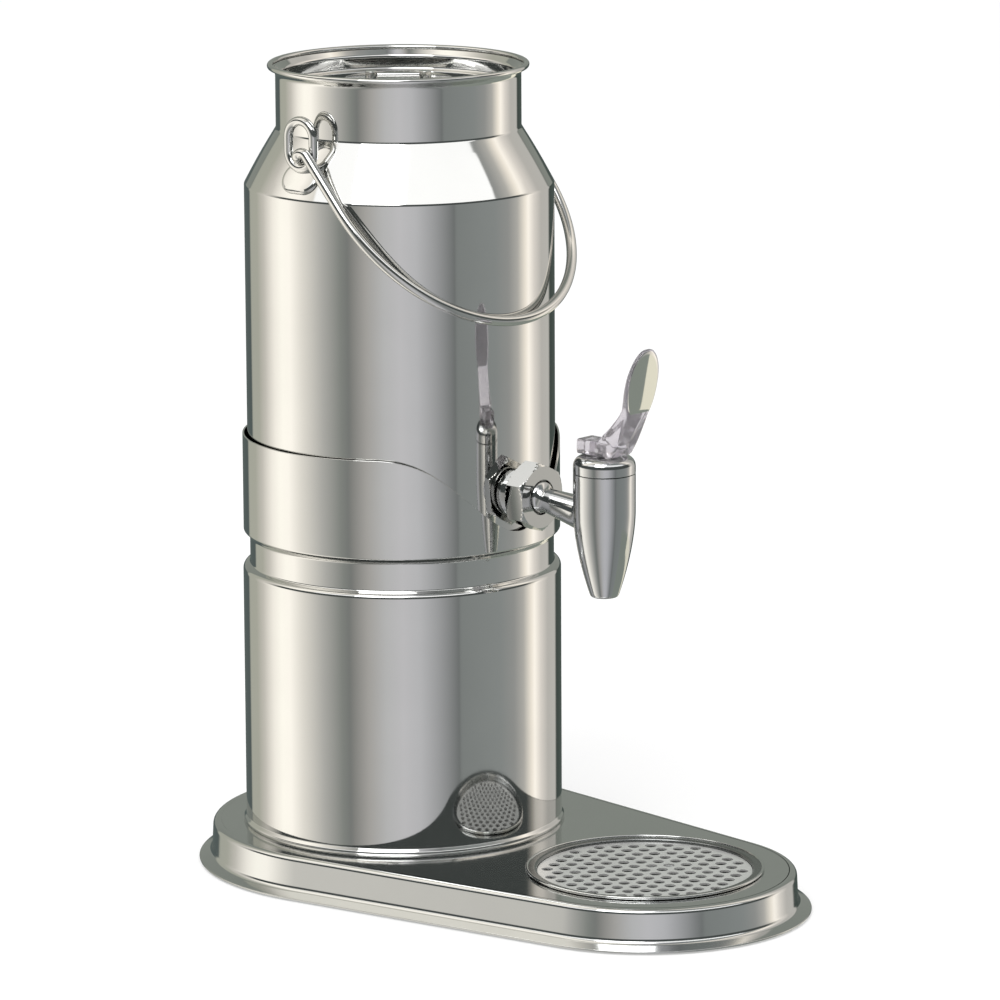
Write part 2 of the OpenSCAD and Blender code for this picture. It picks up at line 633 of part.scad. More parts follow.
// Spout: pointed body with the valve chamber, joined to the neck by a conical arm
bonnet_z = tap_z + 18.9;
mouth_z = bonnet_z - spout_l;
wide_z = mouth_z + 0.7 * spout_l;
spout_y = -(can_r + spout_out);
taper = 1.75;
function spout_radius(z) =
    z >= wide_z ? spout_r : mouth_r + (spout_r - mouth_r) * (1 - pow((wide_z - z) / (wide_z - mouth_z), taper));
seat_z = mouth_z + 14;
seat_r = 6.4;
chamber_low_z = mouth_z + 40;
spout_steps = 16;
arm_start_y = tap_neck_y + 1.8;
arm_end_y = spout_y + 10.5;
arm_start_z = tap_z - 0.5;
arm_end_z = arm_start_z - arm_drop;
module at_spout() {
    translate([0, spout_y, 0]) children();
}
module spout_outside() {
    body_z = [for (i = [0 : spout_steps]) mouth_z + 1.5 + (wide_z - mouth_z - 1.5) * i / spout_steps];
    at_spout() rotate_extrude($fn = 128) polygon(concat(
        [[0, mouth_z], [mouth_r - 1, mouth_z], [spout_radius(mouth_z + 0.6) - 0.3, mouth_z + 0.4]],
        [for (z = body_z) [spout_radius(z), z]], [[spout_r, bonnet_z], [0, bonnet_z]]));
}
module milk_way() {
    at_spout() rotate_extrude($fn = 96) polygon([
        [0, mouth_z - over], [mouth_bore_r, mouth_z - over], [mouth_bore_r, seat_z - 3], [seat_r, seat_z],
        [cup_r + 1.4, seat_z + 9], [chamber_r, chamber_low_z], [chamber_r, bonnet_z + over], [0, bonnet_z + over]]);
    rod_between([0, collar_y + over, tap_z], [0, arm_start_y - 4, tap_z], 4.5);
    rod_between([0, arm_start_y, tap_z + 0.6], [0, spout_y, arm_end_z - 0.5], 4.2);
}
module tap_body() {
    color(steel) difference() {
        union() {
            spout_outside();
            rod_between([0, arm_start_y, arm_start_z], [0, arm_start_y - 2, arm_start_z], arm_r_neck - 1);
            arm_cone();
            along_pipe([[-collar_y, 0], [-collar_y, pipe_r - 0.1], [-collar_y + collar_t, pipe_r - 0.1],
                        [-collar_y + collar_t, tap_neck_r], [-tap_neck_y - 0.8, tap_neck_r],
                        [-tap_neck_y, tap_neck_r - 0.8], [-tap_neck_y, 0]]);
        }
        milk_way();
    }
}
module arm_cone() {
    a = [0, arm_start_y, arm_start_z];
    b = [0, arm_end_y, arm_end_z];
    v = b - a;
    translate(a) rotate([0, acos(v.z / norm(v)), atan2(v.y, v.x)])
        cylinder(r1 = arm_r_neck, r2 = arm_r_spout, h = norm(v));
}

// Screwed cap of the spout, with the stem seal in its underside
bonnet_top_z = bonnet_z + bonnet_h;
spigot_h = 5.5;
spigot_z = bonnet_z - spigot_h;
stem_seal_r = 5.4;
stem_seal_h = 3;
module tap_bonnet() {
    bore = rod_r + run_gap;
    color(steel) at_spout() rotate_extrude($fn = 128) polygon(concat(
        [[bore, bonnet_top_z]],
        corner_arc([bore, bonnet_top_z], [spout_r, bonnet_top_z], [spout_r, bonnet_z], bonnet_round),
        [[spout_r, bonnet_z], [chamber_r - thread_gap, bonnet_z], [chamber_r - thread_gap, spigot_z],
         [stem_seal_r, spigot_z], [stem_seal_r, spigot_z + stem_seal_h], [bore, spigot_z + stem_seal_h]]));
}
module stem_seal() {
    color(silicone) at_spout() rotate_extrude($fn = 64) polygon([
        [rod_r + run_gap, spigot_z], [stem_seal_r, spigot_z], [stem_seal_r, spigot_z + stem_seal_h],
        [rod_r + run_gap, spigot_z + stem_seal_h]]);
}

// Plunger with the silicone cup that closes the seat, and the spring that presses it down
lever_z = bonnet_top_z + seat_gap;
pin_z = lever_z + lever_foot_h / 2 - 0.5;
eye_r = rod_r + 0.15;
cup_low_z = seat_z + seat_gap;
cup_h = 9;
foot_z = cup_low_z + 3;
foot_h = 2.5;
module plunger() {
    color(steel) difference() {
        union() {
            at_spout() translate([0, 0, foot_z]) cylinder(r = rod_r, h = pin_z - foot_z, $fn = 64);
            intersection() {
                at_spout() translate([0, 0, pin_z - 1]) cylinder(r = rod_r, h = 2 * rod_r, $fn = 64);
                translate([-2 * rod_r, spout_y, pin_z]) rotate([0, 90, 0]) cylinder(r = eye_r, h = 4 * rod_r, $fn = 64);
            }
            at_spout() translate([0, 0, foot_z]) cylinder(r = rod_r + 2, h = foot_h, $fn = 64);
        }
        translate([-2 * rod_r, spout_y, pin_z]) rotate([0, 90, 0]) cylinder(d = pin_d + 0.02, h = 4 * rod_r, $fn = 32);
    }
}
module seat_cup() {
    color(silicone) at_spout() rotate_extrude($fn = 64) polygon([
        [0, cup_low_z - 1.2], [seat_r - 2.2, cup_low_z - 1.2], [seat_r - 0.3, cup_low_z + 0.6],
        [cup_r, cup_low_z + 6], [cup_r, cup_low_z + cup_h], [rod_r + 0.02, cup_low_z + cup_h],
        [rod_r + 0.02, foot_z + foot_h + 0.02], [rod_r + 2.02, foot_z + foot_h + 0.02], [rod_r + 2.02, foot_z - 0.02],
        [0, foot_z - 0.02]]);
}

// Closing spring: one tube of wire wound round the plunger, with flat end turns
spring_low_z = cup_low_z + cup_h + seat_gap / 2;
spring_high_z = spigot_z - seat_gap / 2;
ring_n = 8;
wire_sides = 6;
function spring_height(t) =
    spring_low_z + spring_wire_d / 2 + (spring_high_z - spring_low_z - spring_wire_d) * t;
function spring_point(t) =
    [spring_r * cos(360 * spring_turns * t), spout_y + spring_r * sin(360 * spring_turns * t), spring_height(t)];
spring_pitch = (spring_high_z - spring_low_z - spring_wire_d) / spring_turns;
spring_rings = ring_n * spring_turns;
function spring_ring(i) =
    let (t = i / spring_rings, a = 360 * spring_turns * t, c = spring_point(t),
         out = [cos(a), sin(a), 0],
         along = unit([-sin(a) * 2 * PI * spring_r, cos(a) * 2 * PI * spring_r, spring_pitch]),
         up = cross(out, along))
    [for (k = [0 : wire_sides - 1])
        c + spring_wire_d / 2 * (cos(360 * k / wire_sides) * out + sin(360 * k / wire_sides) * up)];
spring_gap = min([for (i = [0 : spring_rings - ring_n])
    norm(spring_point(i / spring_rings) - spring_point((i + ring_n) / spring_rings))]) - spring_wire_d;
echo(least_gap_between_spring_turns = spring_gap);
module tap_spring() {
    points = [for (i = [0 : spring_rings]) each spring_ring(i)];
    last = spring_rings * wire_sides;
    quads = [for (i = [0 : spring_rings - 1], k = [0 : wire_sides - 1])
        let (a = i * wire_sides + k, b = i * wire_sides + (k + 1) % wire_sides)
        [a, a + wire_sides, b + wire_sides, b]];
    sides = [for (q = quads) each [[q[0], q[1], q[2]], [q[0], q[2], q[3]]]];
    ends = [for (k = [1 : wire_sides - 2]) each [[0, k, k + 1], [last, last + k + 1, last + k]]];
    color(steel) polyhedron(points, concat(sides, ends));
}

// Lever of clear plastic on its pin, with a polished insert in the paddle's face
module lever_pin() {
    color(steel) translate([-lever_foot_half_w + 0.2, spout_y, pin_z]) rotate([0, 90, 0])
        cylinder(d = pin_d, h = 2 * lever_foot_half_w - 0.4, $fn = 32);
}
lever_top_z = bonnet_top_z + lever_h;
foot_top_z = lever_z + lever_foot_h;
paddle_low = [lever_toe + lever_reach, foot_top_z + lever_rise];
paddle_high = [paddle_low.x + paddle_lean, lever_top_z];
// Side views of the lever's foot block and of its arm with the paddle, as [distance in front of the pin, height]
foot_side = rounded([
    [-lever_heel, lever_z + 0.8, 0], [-lever_heel, foot_top_z - 0.8, 0], [-lever_heel + 1, foot_top_z, 0],
    [lever_toe / 2, foot_top_z, 0], [lever_toe / 2, lever_z, 0], [-lever_heel + 0.8, lever_z, 0],
    [-lever_heel, lever_z + 0.8, 0]]);
arm_side = rounded([
    [lever_toe - 5, lever_z, 0], [lever_toe - 3, lever_z, 0], [lever_toe, lever_z + 1.5, 1.6],
    [lever_toe + 3.7, foot_top_z, 9], [paddle_low.x, paddle_low.y, 6], [paddle_high.x, paddle_high.y - 1, 1.2],
    [paddle_high.x - 0.6 * paddle_t, paddle_high.y, 1], [paddle_low.x - paddle_t, paddle_low.y + 3, 16],
    [lever_toe - 1, foot_top_z + 11, 10], [lever_toe - 12, foot_top_z + 1.2, 0], [lever_toe - 5, lever_z, 0]]);
paddle_mid_z = lever_top_z - paddle_half_h;
module side_block(side_view, half_w) {
    translate([-half_w, spout_y, 0]) rotate([90, 0, 90])
        linear_extrude(height = 2 * half_w) polygon([for (p = side_view) [-p.x, p.y]]);
}
module front_block() {
    translate([0, spout_y + 2 * lever_heel, 0]) rotate([90, 0, 0]) linear_extrude(height = 6 * lever_heel) children();
}
// Oval front view of the paddle, shrunk by d, and the height where it is as wide as the arm
module paddle_face(d) {
    polygon([for (a = [0 : 3.75 : 359])
        [(paddle_half_w - d) * cos(a), paddle_mid_z + ((sin(a) > 0 ? paddle_half_h : paddle_low_half_h) - d) * sin(a)]]);
}
arm_join_z = paddle_mid_z - paddle_low_half_h * sqrt(1 - pow(min(lever_arm_half_w / paddle_half_w, 1), 2));
module insert_solid(grow) {
    intersection() {
        front_block() intersection() {
            paddle_face(1.2 - grow);
            translate([-paddle_half_w, paddle_low.y + 0.4 - grow]) square([2 * paddle_half_w, lever_h]);
        }
        side_block([[paddle_low.x - insert_t - grow, paddle_low.y - 1], [paddle_low.x + grow, paddle_low.y - 1],
                    [paddle_low.x + grow, paddle_low.y], [paddle_high.x + grow, paddle_high.y],
                    [paddle_high.x - insert_t - grow, paddle_high.y],
                    [paddle_low.x - insert_t - grow, paddle_low.y]], paddle_half_w);
    }
}
module lever() {
    slot_half_w = rod_r + seat_gap;
    slot_half_l = 6.2;
    color(clear_plastic) difference() {
        union() {
            side_block(foot_side, lever_foot_half_w);
            intersection() {
                side_block(arm_side, paddle_half_w + over);
                front_block() union() {
                    paddle_face(0);
                    translate([-lever_arm_half_w, lever_z - over])
                        square([2 * lever_arm_half_w, arm_join_z + over - lever_z]);
                }
            }
        }
        translate([-slot_half_w, spout_y - slot_half_l, lever_z - over])
            cube([2 * slot_half_w, 2 * slot_half_l, pin_z - lever_z + eye_r + seat_gap + over]);
        translate([-2 * lever_foot_half_w, spout_y, pin_z]) rotate([0, 90, 0])
            cylinder(d = pin_d + 2 * run_gap, h = 4 * lever_foot_half_w, $fn = 32);
        insert_solid(0.05);
    }
}
module lever_insert() {
    color(steel) insert_solid(0);
}

base_plate();
rubber_feet();
stand_tube();
foot_ring();
stand_screws();
drip_dish();
drip_grid();
milk_can();
can_bottom();
ear_left();
ear_right();
bail_handle();
lid();
ice_tube();
ice_cap();
ice_cap_seal();
cap_handle();
outlet_boss();
tap_gasket();
union_nut();
tap_body();
tap_bonnet();
stem_seal();
plunger();
seat_cup();
tap_spring();
lever_pin();
lever();
lever_insert();
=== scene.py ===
import math

import bmesh
import bpy
import numpy as np
from mathutils import Matrix, Vector


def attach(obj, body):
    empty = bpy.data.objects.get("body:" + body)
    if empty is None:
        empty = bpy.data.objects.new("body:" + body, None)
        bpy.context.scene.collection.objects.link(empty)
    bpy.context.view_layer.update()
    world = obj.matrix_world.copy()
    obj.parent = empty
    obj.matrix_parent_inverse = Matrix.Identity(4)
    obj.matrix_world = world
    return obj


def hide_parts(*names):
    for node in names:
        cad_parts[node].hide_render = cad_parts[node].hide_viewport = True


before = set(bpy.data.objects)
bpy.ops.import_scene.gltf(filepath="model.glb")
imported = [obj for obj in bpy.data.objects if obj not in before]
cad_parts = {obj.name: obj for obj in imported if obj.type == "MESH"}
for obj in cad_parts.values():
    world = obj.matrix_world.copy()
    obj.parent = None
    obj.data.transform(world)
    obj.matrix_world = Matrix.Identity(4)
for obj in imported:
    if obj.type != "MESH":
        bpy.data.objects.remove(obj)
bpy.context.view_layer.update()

# Base plate: one stainless sheet drawn down at its edge, with a rounded deck edge, a short skirt and a flared
# flange that ends in a turned rim. Satin-polished, it carries the stand and the drip dish.
deck_r_stand = 100.0
deck_r_dish = 76.2
dish_reach = 170.0
deck_z = 22.0
plate_t = 1.0
dish_hole_r = 58.8


def linear(code):
    """An sRGB hex colour as the linear colour that a shader socket takes."""
    c = np.array([int(code[i : i + 2], 16) for i in (1, 3, 5)]) / 255.0
    c = np.where(c <= 0.04045, c / 12.92, ((c + 0.055) / 1.055) ** 2.4)
    return (*c.tolist(), 1.0)


def add(tree, kind, links=None, **settings):
    """A shader node with its settings. links gives a socket a number, a colour or another node's output."""
    made = tree.nodes.new(kind)
    for key, value in settings.items():
        setattr(made, key, value)
    for socket, value in (links or {}).items():
        if isinstance(value, bpy.types.NodeSocket):
            tree.links.new(value, made.inputs[socket])
        else:
            made.inputs[socket].default_value = value
    return made


def new_look(name):
    """A material with an empty tree, and the object's own coordinates for its patterns to lie on."""
    made = bpy.data.materials.new(name)
    made.use_nodes = True
    made.node_tree.nodes.clear()
    return made, made.node_tree, add(made.node_tree, "ShaderNodeTexCoord").outputs["Object"]


def stainless(name, tint, shade, rough, grain_mm, grain_depth, metal=1.0):
    """Stainless steel: two near tones in soft clouds, a roughness that drifts, and rub marks of a set width.
    Where metal is less than 1, part of the light comes back matt in the pale tone, a painted sheen."""
    made, tree, place = new_look(name)
    clouds = add(tree, "ShaderNodeTexNoise", {"Vector": place, "Scale": 22.0, "Detail": 3.0}).outputs["Fac"]
    # a Mix node's colours are its sockets 6, 7 and 2, because they share their names with its other kinds
    tones = {0: clouds, 6: linear(tint), 7: linear(shade)}
    tone = add(tree, "ShaderNodeMix", tones, data_type="RGBA").outputs[2]
    fine = add(tree, "ShaderNodeTexNoise", {"Vector": place, "Scale": 1000.0 / (grain_mm * 6), "Detail": 5.0})
    drift = {"From Min": 0.3, "From Max": 0.7, "To Min": rough * 0.8, "To Max": rough * 1.25}
    gloss = add(tree, "ShaderNodeMapRange", {"Value": fine.outputs["Fac"]} | drift)
    squeeze = add(tree, "ShaderNodeMapping", {"Vector": place, "Scale": (40.0, 40.0, 1000.0 / grain_mm)})
    rub = add(tree, "ShaderNodeTexNoise", {"Vector": squeeze.outputs[0], "Scale": 1.0, "Detail": 2.0})
    marks = {"Height": rub.outputs["Fac"], "Strength": grain_depth, "Distance": 0.00002}
    relief = add(tree, "ShaderNodeBump", marks)
    steel = add(
        tree,
        "ShaderNodeBsdfPrincipled",
        {
            "Base Color": tone,
            "Roughness": gloss.outputs[0],
            "Metallic": metal,
            "Normal": relief.outputs[0],
        },
    )
    add(tree, "ShaderNodeOutputMaterial", {"Surface": steel.outputs[0]})
    return made


def rounded(corners, closed, pitch=9.0):
    """A path in millimetres through [r, z, radius] corners: each corner is an arc, each straight has a point
    close to both of its ends and one every pitch, so the smooth normals bend only in the arcs."""
    c = np.array(corners, float)
    n = len(c)
    arcs = []
    for i in range(n):
        p, radius = c[i, :2], c[i, 2]
        arc = p[None]
        if radius > 0 and (closed or 0 < i < n - 1):
            a, b = c[i - 1, :2] - p, c[(i + 1) % n, :2] - p
            a, b = a / np.linalg.norm(a), b / np.linalg.norm(b)
            half = math.acos(max(-1.0, min(1.0, float(a @ b)))) / 2
            if half < 1.55:
                m = p + (a + b) / np.linalg.norm(a + b) * radius / math.sin(half)
                s, e = (p + w * radius / math.tan(half) - m for w in (a, b))
                start = math.atan2(s[1], s[0])
                turn = (math.atan2(e[1], e[0]) - start + math.pi) % (2 * math.pi) - math.pi
                ang = start + turn * np.linspace(0, 1, max(4, math.ceil(abs(turn) / 0.14)) + 1)
                arc = m + radius * np.stack([np.cos(ang), np.sin(ang)], 1)
        arcs.append(arc)
    out = []
    for i in range(n if closed else n - 1):
        p, q = arcs[i][-1], arcs[(i + 1) % n][0]
        length = np.linalg.norm(q - p)
        out.append(arcs[i])
        if length > 1.2:
            t = np.linspace(0, 1, max(2, math.ceil(length / pitch) + 1))[1:-1]
            t = np.concatenate([[0.2 / length], t, [1 - 0.2 / length]])
            out.append(p + (q - p) * t[:, None])
    if not closed:
        out.append(arcs[-1])
    return np.concatenate(out)


def sheet(corners, t, rim=0.3):
    """Both faces of a sheet of thickness t: the corners of one face, then those of the other, moved t to the
    left of the path and taken backwards, with each bend's radius kept in step."""
    c = np.array(corners, float)
    step = c[1:, :2] - c[:-1, :2]
    step /= np.linalg.norm(step, axis=1)[:, None]
    left = np.stack([-step[:, 1], step[:, 0]], 1)
    first = np.concatenate([left[:1], left])
    last = np.concatenate([left, left[-1:]])
    shift = (first + last) * t / (1 + (first * last).sum(1))[:, None]
    bend = first[:, 0] * last[:, 1] - first[:, 1] * last[:, 0]
    other = np.column_stack([c[:, :2] + shift, np.maximum(c[:, 2] - np.sign(bend) * t * (c[:, 2] > 0), 0)])
    near, far = c.copy(), other[::-1].copy()
    near[[0, -1], 2] = rim
    far[[0, -1], 2] = rim
    return np.concatenate([near, far])


def skin(name, grid, material, body, round_u=True, round_v=True, crease=35.0):
    """One closed mesh over a grid of points in millimetres: quads between neighbours, the last row joined to
    the first where it is round, doubles merged, faces outward, smooth up to the crease angle. Where a body is
    given, it rides on it."""
    nu, nv = grid.shape[:2]
    index = np.arange(nu * nv).reshape(nu, nv)
    u = np.arange(nu if round_u else nu - 1)
    v = np.arange(nv if round_v else nv - 1)
    a = index[u][:, v]
    b = index[(u + 1) % nu][:, v]
    c = index[(u + 1) % nu][:, (v + 1) % nv]
    d = index[u][:, (v + 1) % nv]
    quads = np.stack([a, b, c, d], -1).reshape(-1, 4)
    mesh = bpy.data.meshes.new(name)
    mesh.vertices.add(nu * nv)
    mesh.vertices.foreach_set("co", (grid.reshape(-1) * 0.001).astype(np.float32))
    mesh.loops.add(quads.size)
    mesh.loops.foreach_set("vertex_index", quads.reshape(-1).astype(np.int32))
    mesh.polygons.add(len(quads))
    mesh.polygons.foreach_set("loop_start", np.arange(0, quads.size, 4, dtype=np.int32))
    mesh.update(calc_edges=True)
    shell = bmesh.new()
    shell.from_mesh(mesh)
    bmesh.ops.remove_doubles(shell, verts=shell.verts, dist=2e-6)
    holes = [e for e in shell.edges if e.is_boundary]
    if holes:
        bmesh.ops.holes_fill(shell, edges=holes, sides=0)
    bmesh.ops.recalc_face_normals(shell, faces=shell.faces)
    shell.to_mesh(mesh)
    shell.free()
    mesh.shade_smooth()
    mesh.set_sharp_from_angle(angle=math.radians(crease))
    mesh.materials.append(material)
    piece = bpy.data.objects.new(name, mesh)
    bpy.context.scene.collection.objects.link(piece)
    if body:
        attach(piece, body)
    return piece


# satin-polished stainless blurs what it mirrors a little, with fine rub marks
satin_steel = stainless("stainless_satin_polished", "#dadbda", "#cfd0cf", 0.1, 0.5, 0.12)

# outline of two circles joined by their tangents, as centre, radius and normal angle at each step round it
taper = math.asin((deck_r_stand - deck_r_dish) / dish_reach)
back_arc = np.linspace(-taper, math.pi + taper, 181)
front_arc = np.linspace(math.pi + taper, 2 * math.pi - taper, 121)
side_steps = np.linspace(0, 1, 26)[1:-1]
normal_angle = np.concatenate([back_arc, np.full(24, math.pi + taper), front_arc, np.full(24, -taper)])
along = np.concatenate([np.zeros(181), side_steps, np.ones(121), side_steps[::-1]])
facing = np.stack([np.cos(normal_angle), np.sin(normal_angle)], 1)
middle = np.stack([0 * along, -dish_reach * along], 1)
edge_line = middle + facing * (deck_r_stand + (deck_r_dish - deck_r_stand) * along)[:, None]
# the rim's profile as distance outside the deck's outline and height: deck edge, skirt, flange, turned rim
rim_face = sheet([[-1, deck_z, 0], [3.6, deck_z, 3], [4.5, 4.6, 3.6], [11.6, 1.8, 0]], -plate_t, rim=0.45)
rim = rounded(rim_face, True, 3.0)
# the profile starts on the deck's top and ends under it, and the deck closes it to the dish's hole
start = int(np.argmin(np.abs(rim[:, 0] + 1) + np.abs(rim[:, 1] - deck_z)))
rim = np.roll(rim, -start, axis=0)
rim = rim[rim[:, 0] > -0.9]
ring = edge_line[:, None] + facing[:, None] * rim[None, :, :1]
ring = np.concatenate([ring, np.broadcast_to(rim[None, :, 1:], ring.shape[:2] + (1,))], 2)
to_dish = edge_line - np.array([0, -dish_reach])
to_dish /= np.linalg.norm(to_dish, axis=1)[:, None]
hole_line = np.array([0, -dish_reach]) + to_dish * dish_hole_r


def deck(z, spans):
    """Flat rings between the dish's hole and the deck's edge, at each share of the way out."""
    flat = hole_line[:, None] + (edge_line - hole_line)[:, None] * np.array(spans)[None, :, None]
    return np.concatenate([flat, np.full(flat.shape[:2] + (1,), z)], 2)


spans = [0, 0.02, 0.25, 0.5, 0.75, 0.97, 0.995]
plate_grid = np.concatenate([deck(deck_z, spans), ring, deck(deck_z - plate_t, spans[::-1])], 1)
base_plate = skin("base_plate_sheet", plate_grid, satin_steel, "stand")
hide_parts("base_plate")

# Rubber feet: moulded black rubber buttons glued under the deck. Their mesh is the frame's own; the finish is
# a dull rubber with moulding grain about 1 mm wide.
black_rubber, tree, place = new_look("rubber_moulded_black")
grain = add(tree, "ShaderNodeTexNoise", {"Vector": place, "Scale": 900.0, "Detail": 3.0})
shades = add(tree, "ShaderNodeValToRGB", {"Fac": grain.outputs["Fac"]})
shades.color_ramp.elements[0].color = linear("#1c1c1d")
shades.color_ramp.elements[1].color = linear("#2b2b2c")
pores = add(tree, "ShaderNodeBump", {"Height": grain.outputs["Fac"], "Strength": 0.4, "Distance": 0.0001})
dull = {"Base Color": shades.outputs[0], "Roughness": 0.75, "Normal": pores.outputs[0]}
rubber = add(tree, "ShaderNodeBsdfPrincipled", dull)
add(tree, "ShaderNodeOutputMaterial", {"Surface": rubber.outputs[0]})


def finish(node, material):
    """Gives a frame node its material in every slot."""
    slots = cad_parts[node].data.materials
    if not slots:
        slots.append(material)
    for i in range(len(slots)):
        slots[i] = material


finish("rubber_feet", black_rubber)

# Stand tube: polished stainless sheet rolled to a tube, with a beaded foot, a rolled groove whose inner ledge
# carries the can, and a collar cut down in a bell curve to let the tap's boss sink in.
tube_r = 85.5
tube_t = 1.0
groove_r = 81.7
groove_h = 16.3
collar_r = 85.1
collar_h = 56.0
groove_z = deck_z + 141.0
collar_z = groove_z + groove_h + collar_r - groove_r
collar_top = groove_z + groove_h + collar_h
notch_h = 43.5
notch_half_w = 72.0
# mirror-polished stainless shows the studio sharp, with hardly a rub mark
polished_steel = stainless("stainless_mirror_polished", "#dddddb", "#d4d4d2", 0.05, 1.6, 0.03)


def turned(path, steps=288, centre=(0.0, 0.0), bend=None):
    """A path of [r, z] points turned about the Z axis through centre. bend, if given, is a function of the
    angle and the path's own z that gives the new z."""
    angle = np.arange(steps) * 2 * math.pi / steps
    r, z = path[:, 0], np.broadcast_to(path[:, 1], (steps, len(path)))
    if bend is not None:
        z = bend(angle[:, None], z)
    return np.stack(
        [centre[0] + np.cos(angle)[:, None] * r, centre[1] + np.sin(angle)[:, None] * r, z], 2
    )


def notch(angle, z):
    """Above the collar's lower bend each point's height is scaled so that the rim falls to the bell curve
    -h (1 + cos(pi x / w)) / 2 on the front side."""
    x = np.clip(collar_r * np.cos(angle), -notch_half_w, notch_half_w)
    fall = np.where(np.sin(angle) < 0, notch_h * (1 + np.cos(math.pi * x / notch_half_w)) / 2, 0)
    low = collar_z + 3
    share = np.clip((z - low) / (collar_top - low), 0, None)
    return z - share * fall


bead = 1.9
# the outside from the foot's bead up, then the inside down, each point a sheet's thickness behind its partner
tube_face = [
    [tube_r, deck_z, 0],
    [tube_r + 0.9, deck_z + 0.05, 0.4],
    [tube_r - 0.2 + bead, deck_z + bead, 1.4],
    [tube_r + 0.05, deck_z + 2 * bead + 0.1, 0.5],
    [tube_r, groove_z, 3.2],
    [groove_r, groove_z + 1.8, 1.2],
    [groove_r, groove_z + groove_h, 1.6],
    [collar_r, collar_z, 1.2],
    [collar_r, collar_top, 0.35],
    [collar_r - tube_t, collar_top, 0.35],
    [collar_r - tube_t, collar_z + 0.41, 2.2],
    [groove_r - tube_t, groove_z + groove_h + 0.41, 0.6],
    [groove_r - tube_t, groove_z + 1.36, 0.3],
    [tube_r - tube_t, groove_z - 0.44, 2.2],
    [tube_r - tube_t, deck_z, 0],
]
tube_grid = turned(rounded(tube_face, True, 6.0), 360, bend=notch)
stand_tube = skin("stand_tube_sheet", tube_grid, polished_steel, "stand")
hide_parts("stand_tube")

# Mounting ring and screws: a satin ring tack-welded inside the tube's foot, and plain steel socket screws
# that pull it down on the plate from below. They hide under the deck, and keep the frame's own meshes.
plain_steel = stainless("steel_zinc_plated", "#b9bbbc", "#a7a9aa", 0.3, 0.4, 0.3)
finish("foot_ring", satin_steel)
finish("stand_screws", plain_steel)

# Drip dish: pressed stainless bowl with a flat rim and a thin curled edge, hung in the plate by that rim. The
# perforated grid is punched sheet that lies on its inner ledge.
dish_rim_r = 62.8
dish_in_r = 56.8
dish_low_r = 54.4
dish_floor_z = 7.0
dish_t = 0.8
grid_t = 1.0
seat_gap = 0.3
dish_top = deck_z + seat_gap + dish_t
grid_top = dish_top - 1.9
ledge = grid_top - grid_t - seat_gap
curl_r = 0.8
dish_face = sheet(
    [
        [0, dish_floor_z, 0],
        [dish_low_r, dish_floor_z, 4],
        [dish_low_r, ledge - dish_t, 0.6],
        [dish_in_r + dish_t, ledge - dish_t, 0.8],
        [dish_in_r + dish_t, dish_top - dish_t, 0.8],
        [dish_rim_r - curl_r, dish_top - dish_t, 0],
    ],
    dish_t,
)
dish_face[[0, -1], 2] = 0
dish_grid = turned(rounded(dish_face, False, 6.0), 216, (0.0, -dish_reach))
# inside the dish the pressed sheet is left a little dull, and its tone, darker than the polished plate's, is
# painted shade for the dark under the grid
dish_steel_painted_shade = stainless("stainless_dish_painted_shade", "#8f9190", "#828483", 0.24, 0.5, 0.2)
drip_dish = skin("drip_dish_bowl", dish_grid, dish_steel_painted_shade, "dish", round_v=False)
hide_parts("drip_dish")
curl = np.linspace(0, 2 * math.pi, 17)[:-1]
curl_path = np.stack([dish_rim_r - curl_r + curl_r * np.cos(curl), dish_top + curl_r * np.sin(curl)], 1)
dish_curl = skin("drip_dish_curl", turned(curl_path, 216, (0.0, -dish_reach)), satin_steel, "dish")
# punched sheet is left unpolished and blurred, and its pale, partly matt tone is a painted sheen that
# lightens the web between the holes
grid_steel_painted_sheen = stainless("stainless_punched_painted_sheen", "#f4f4f2", "#e6e6e4", 0.2, 0.6, 0.3, metal=0.6)
finish("drip_grid", grid_steel_painted_sheen)

# Milk can: deep-drawn stainless shell with a rounded shoulder, a short neck and a rolled lip,
# mirror-polished. Its pressed bottom is butt-welded on and ground flush.
can_r = 82.5
can_t = 0.9
can_z = 180.181
floor_rise = 2.5
weld_h = 8.0
shoulder_z = can_z + 189.6
neck_z = shoulder_z + 30.0
lip_z = neck_z + 34.3
neck_r = 65.2
lip_r = 69.5
lip_bead = 1.6
lip_c = lip_r - lip_bead
flare_z = lip_z - lip_bead - (lip_c - neck_r) - lip_bead * math.sqrt(0.5)
# the shoulder's straight slope is crowned by one wide bend that stands this far off it
crown_out = 0.45
crown_up = 0.26
crown_r = 330
can_face = sheet(
    [
        [can_r, can_z + weld_h, 0],
        [can_r, shoulder_z, 3],
        [(can_r + neck_r) / 2 + crown_out, (shoulder_z + neck_z) / 2 + crown_up, crown_r],
        [neck_r, neck_z, 3],
        [neck_r, flare_z, 3],
        [lip_c, flare_z + lip_c - neck_r, 0],
    ],
    can_t,
    rim=0.0,
)
milk_can = skin("milk_can_shell", turned(rounded(can_face, True, 7.0)), polished_steel, "can")
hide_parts("milk_can")
turn = np.linspace(0, 2 * math.pi, 29)[:-1]
# 5 microns low, to stay within the height of the frame
lip_mid = lip_z - lip_bead - 0.005
lip_path = np.stack([lip_c + lip_bead * np.cos(turn), lip_mid + lip_bead * np.sin(turn)], 1)
can_lip = skin("milk_can_lip", turned(lip_path), polished_steel, "can")
bottom_face = sheet(
    [
        [0, can_z + floor_rise, 0],
        [can_r - 13, can_z + floor_rise, 2],
        [can_r - 10.5, can_z, 2],
        [can_r, can_z, 3],
        [can_r, can_z + weld_h, 0],
    ],
    can_t,
    rim=0.0,
)
bottom_grid = turned(rounded(bottom_face, False, 7.0))
can_bottom = skin("can_bottom_pressing", bottom_grid, polished_steel, "can", round_v=False)
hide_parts("can_bottom")

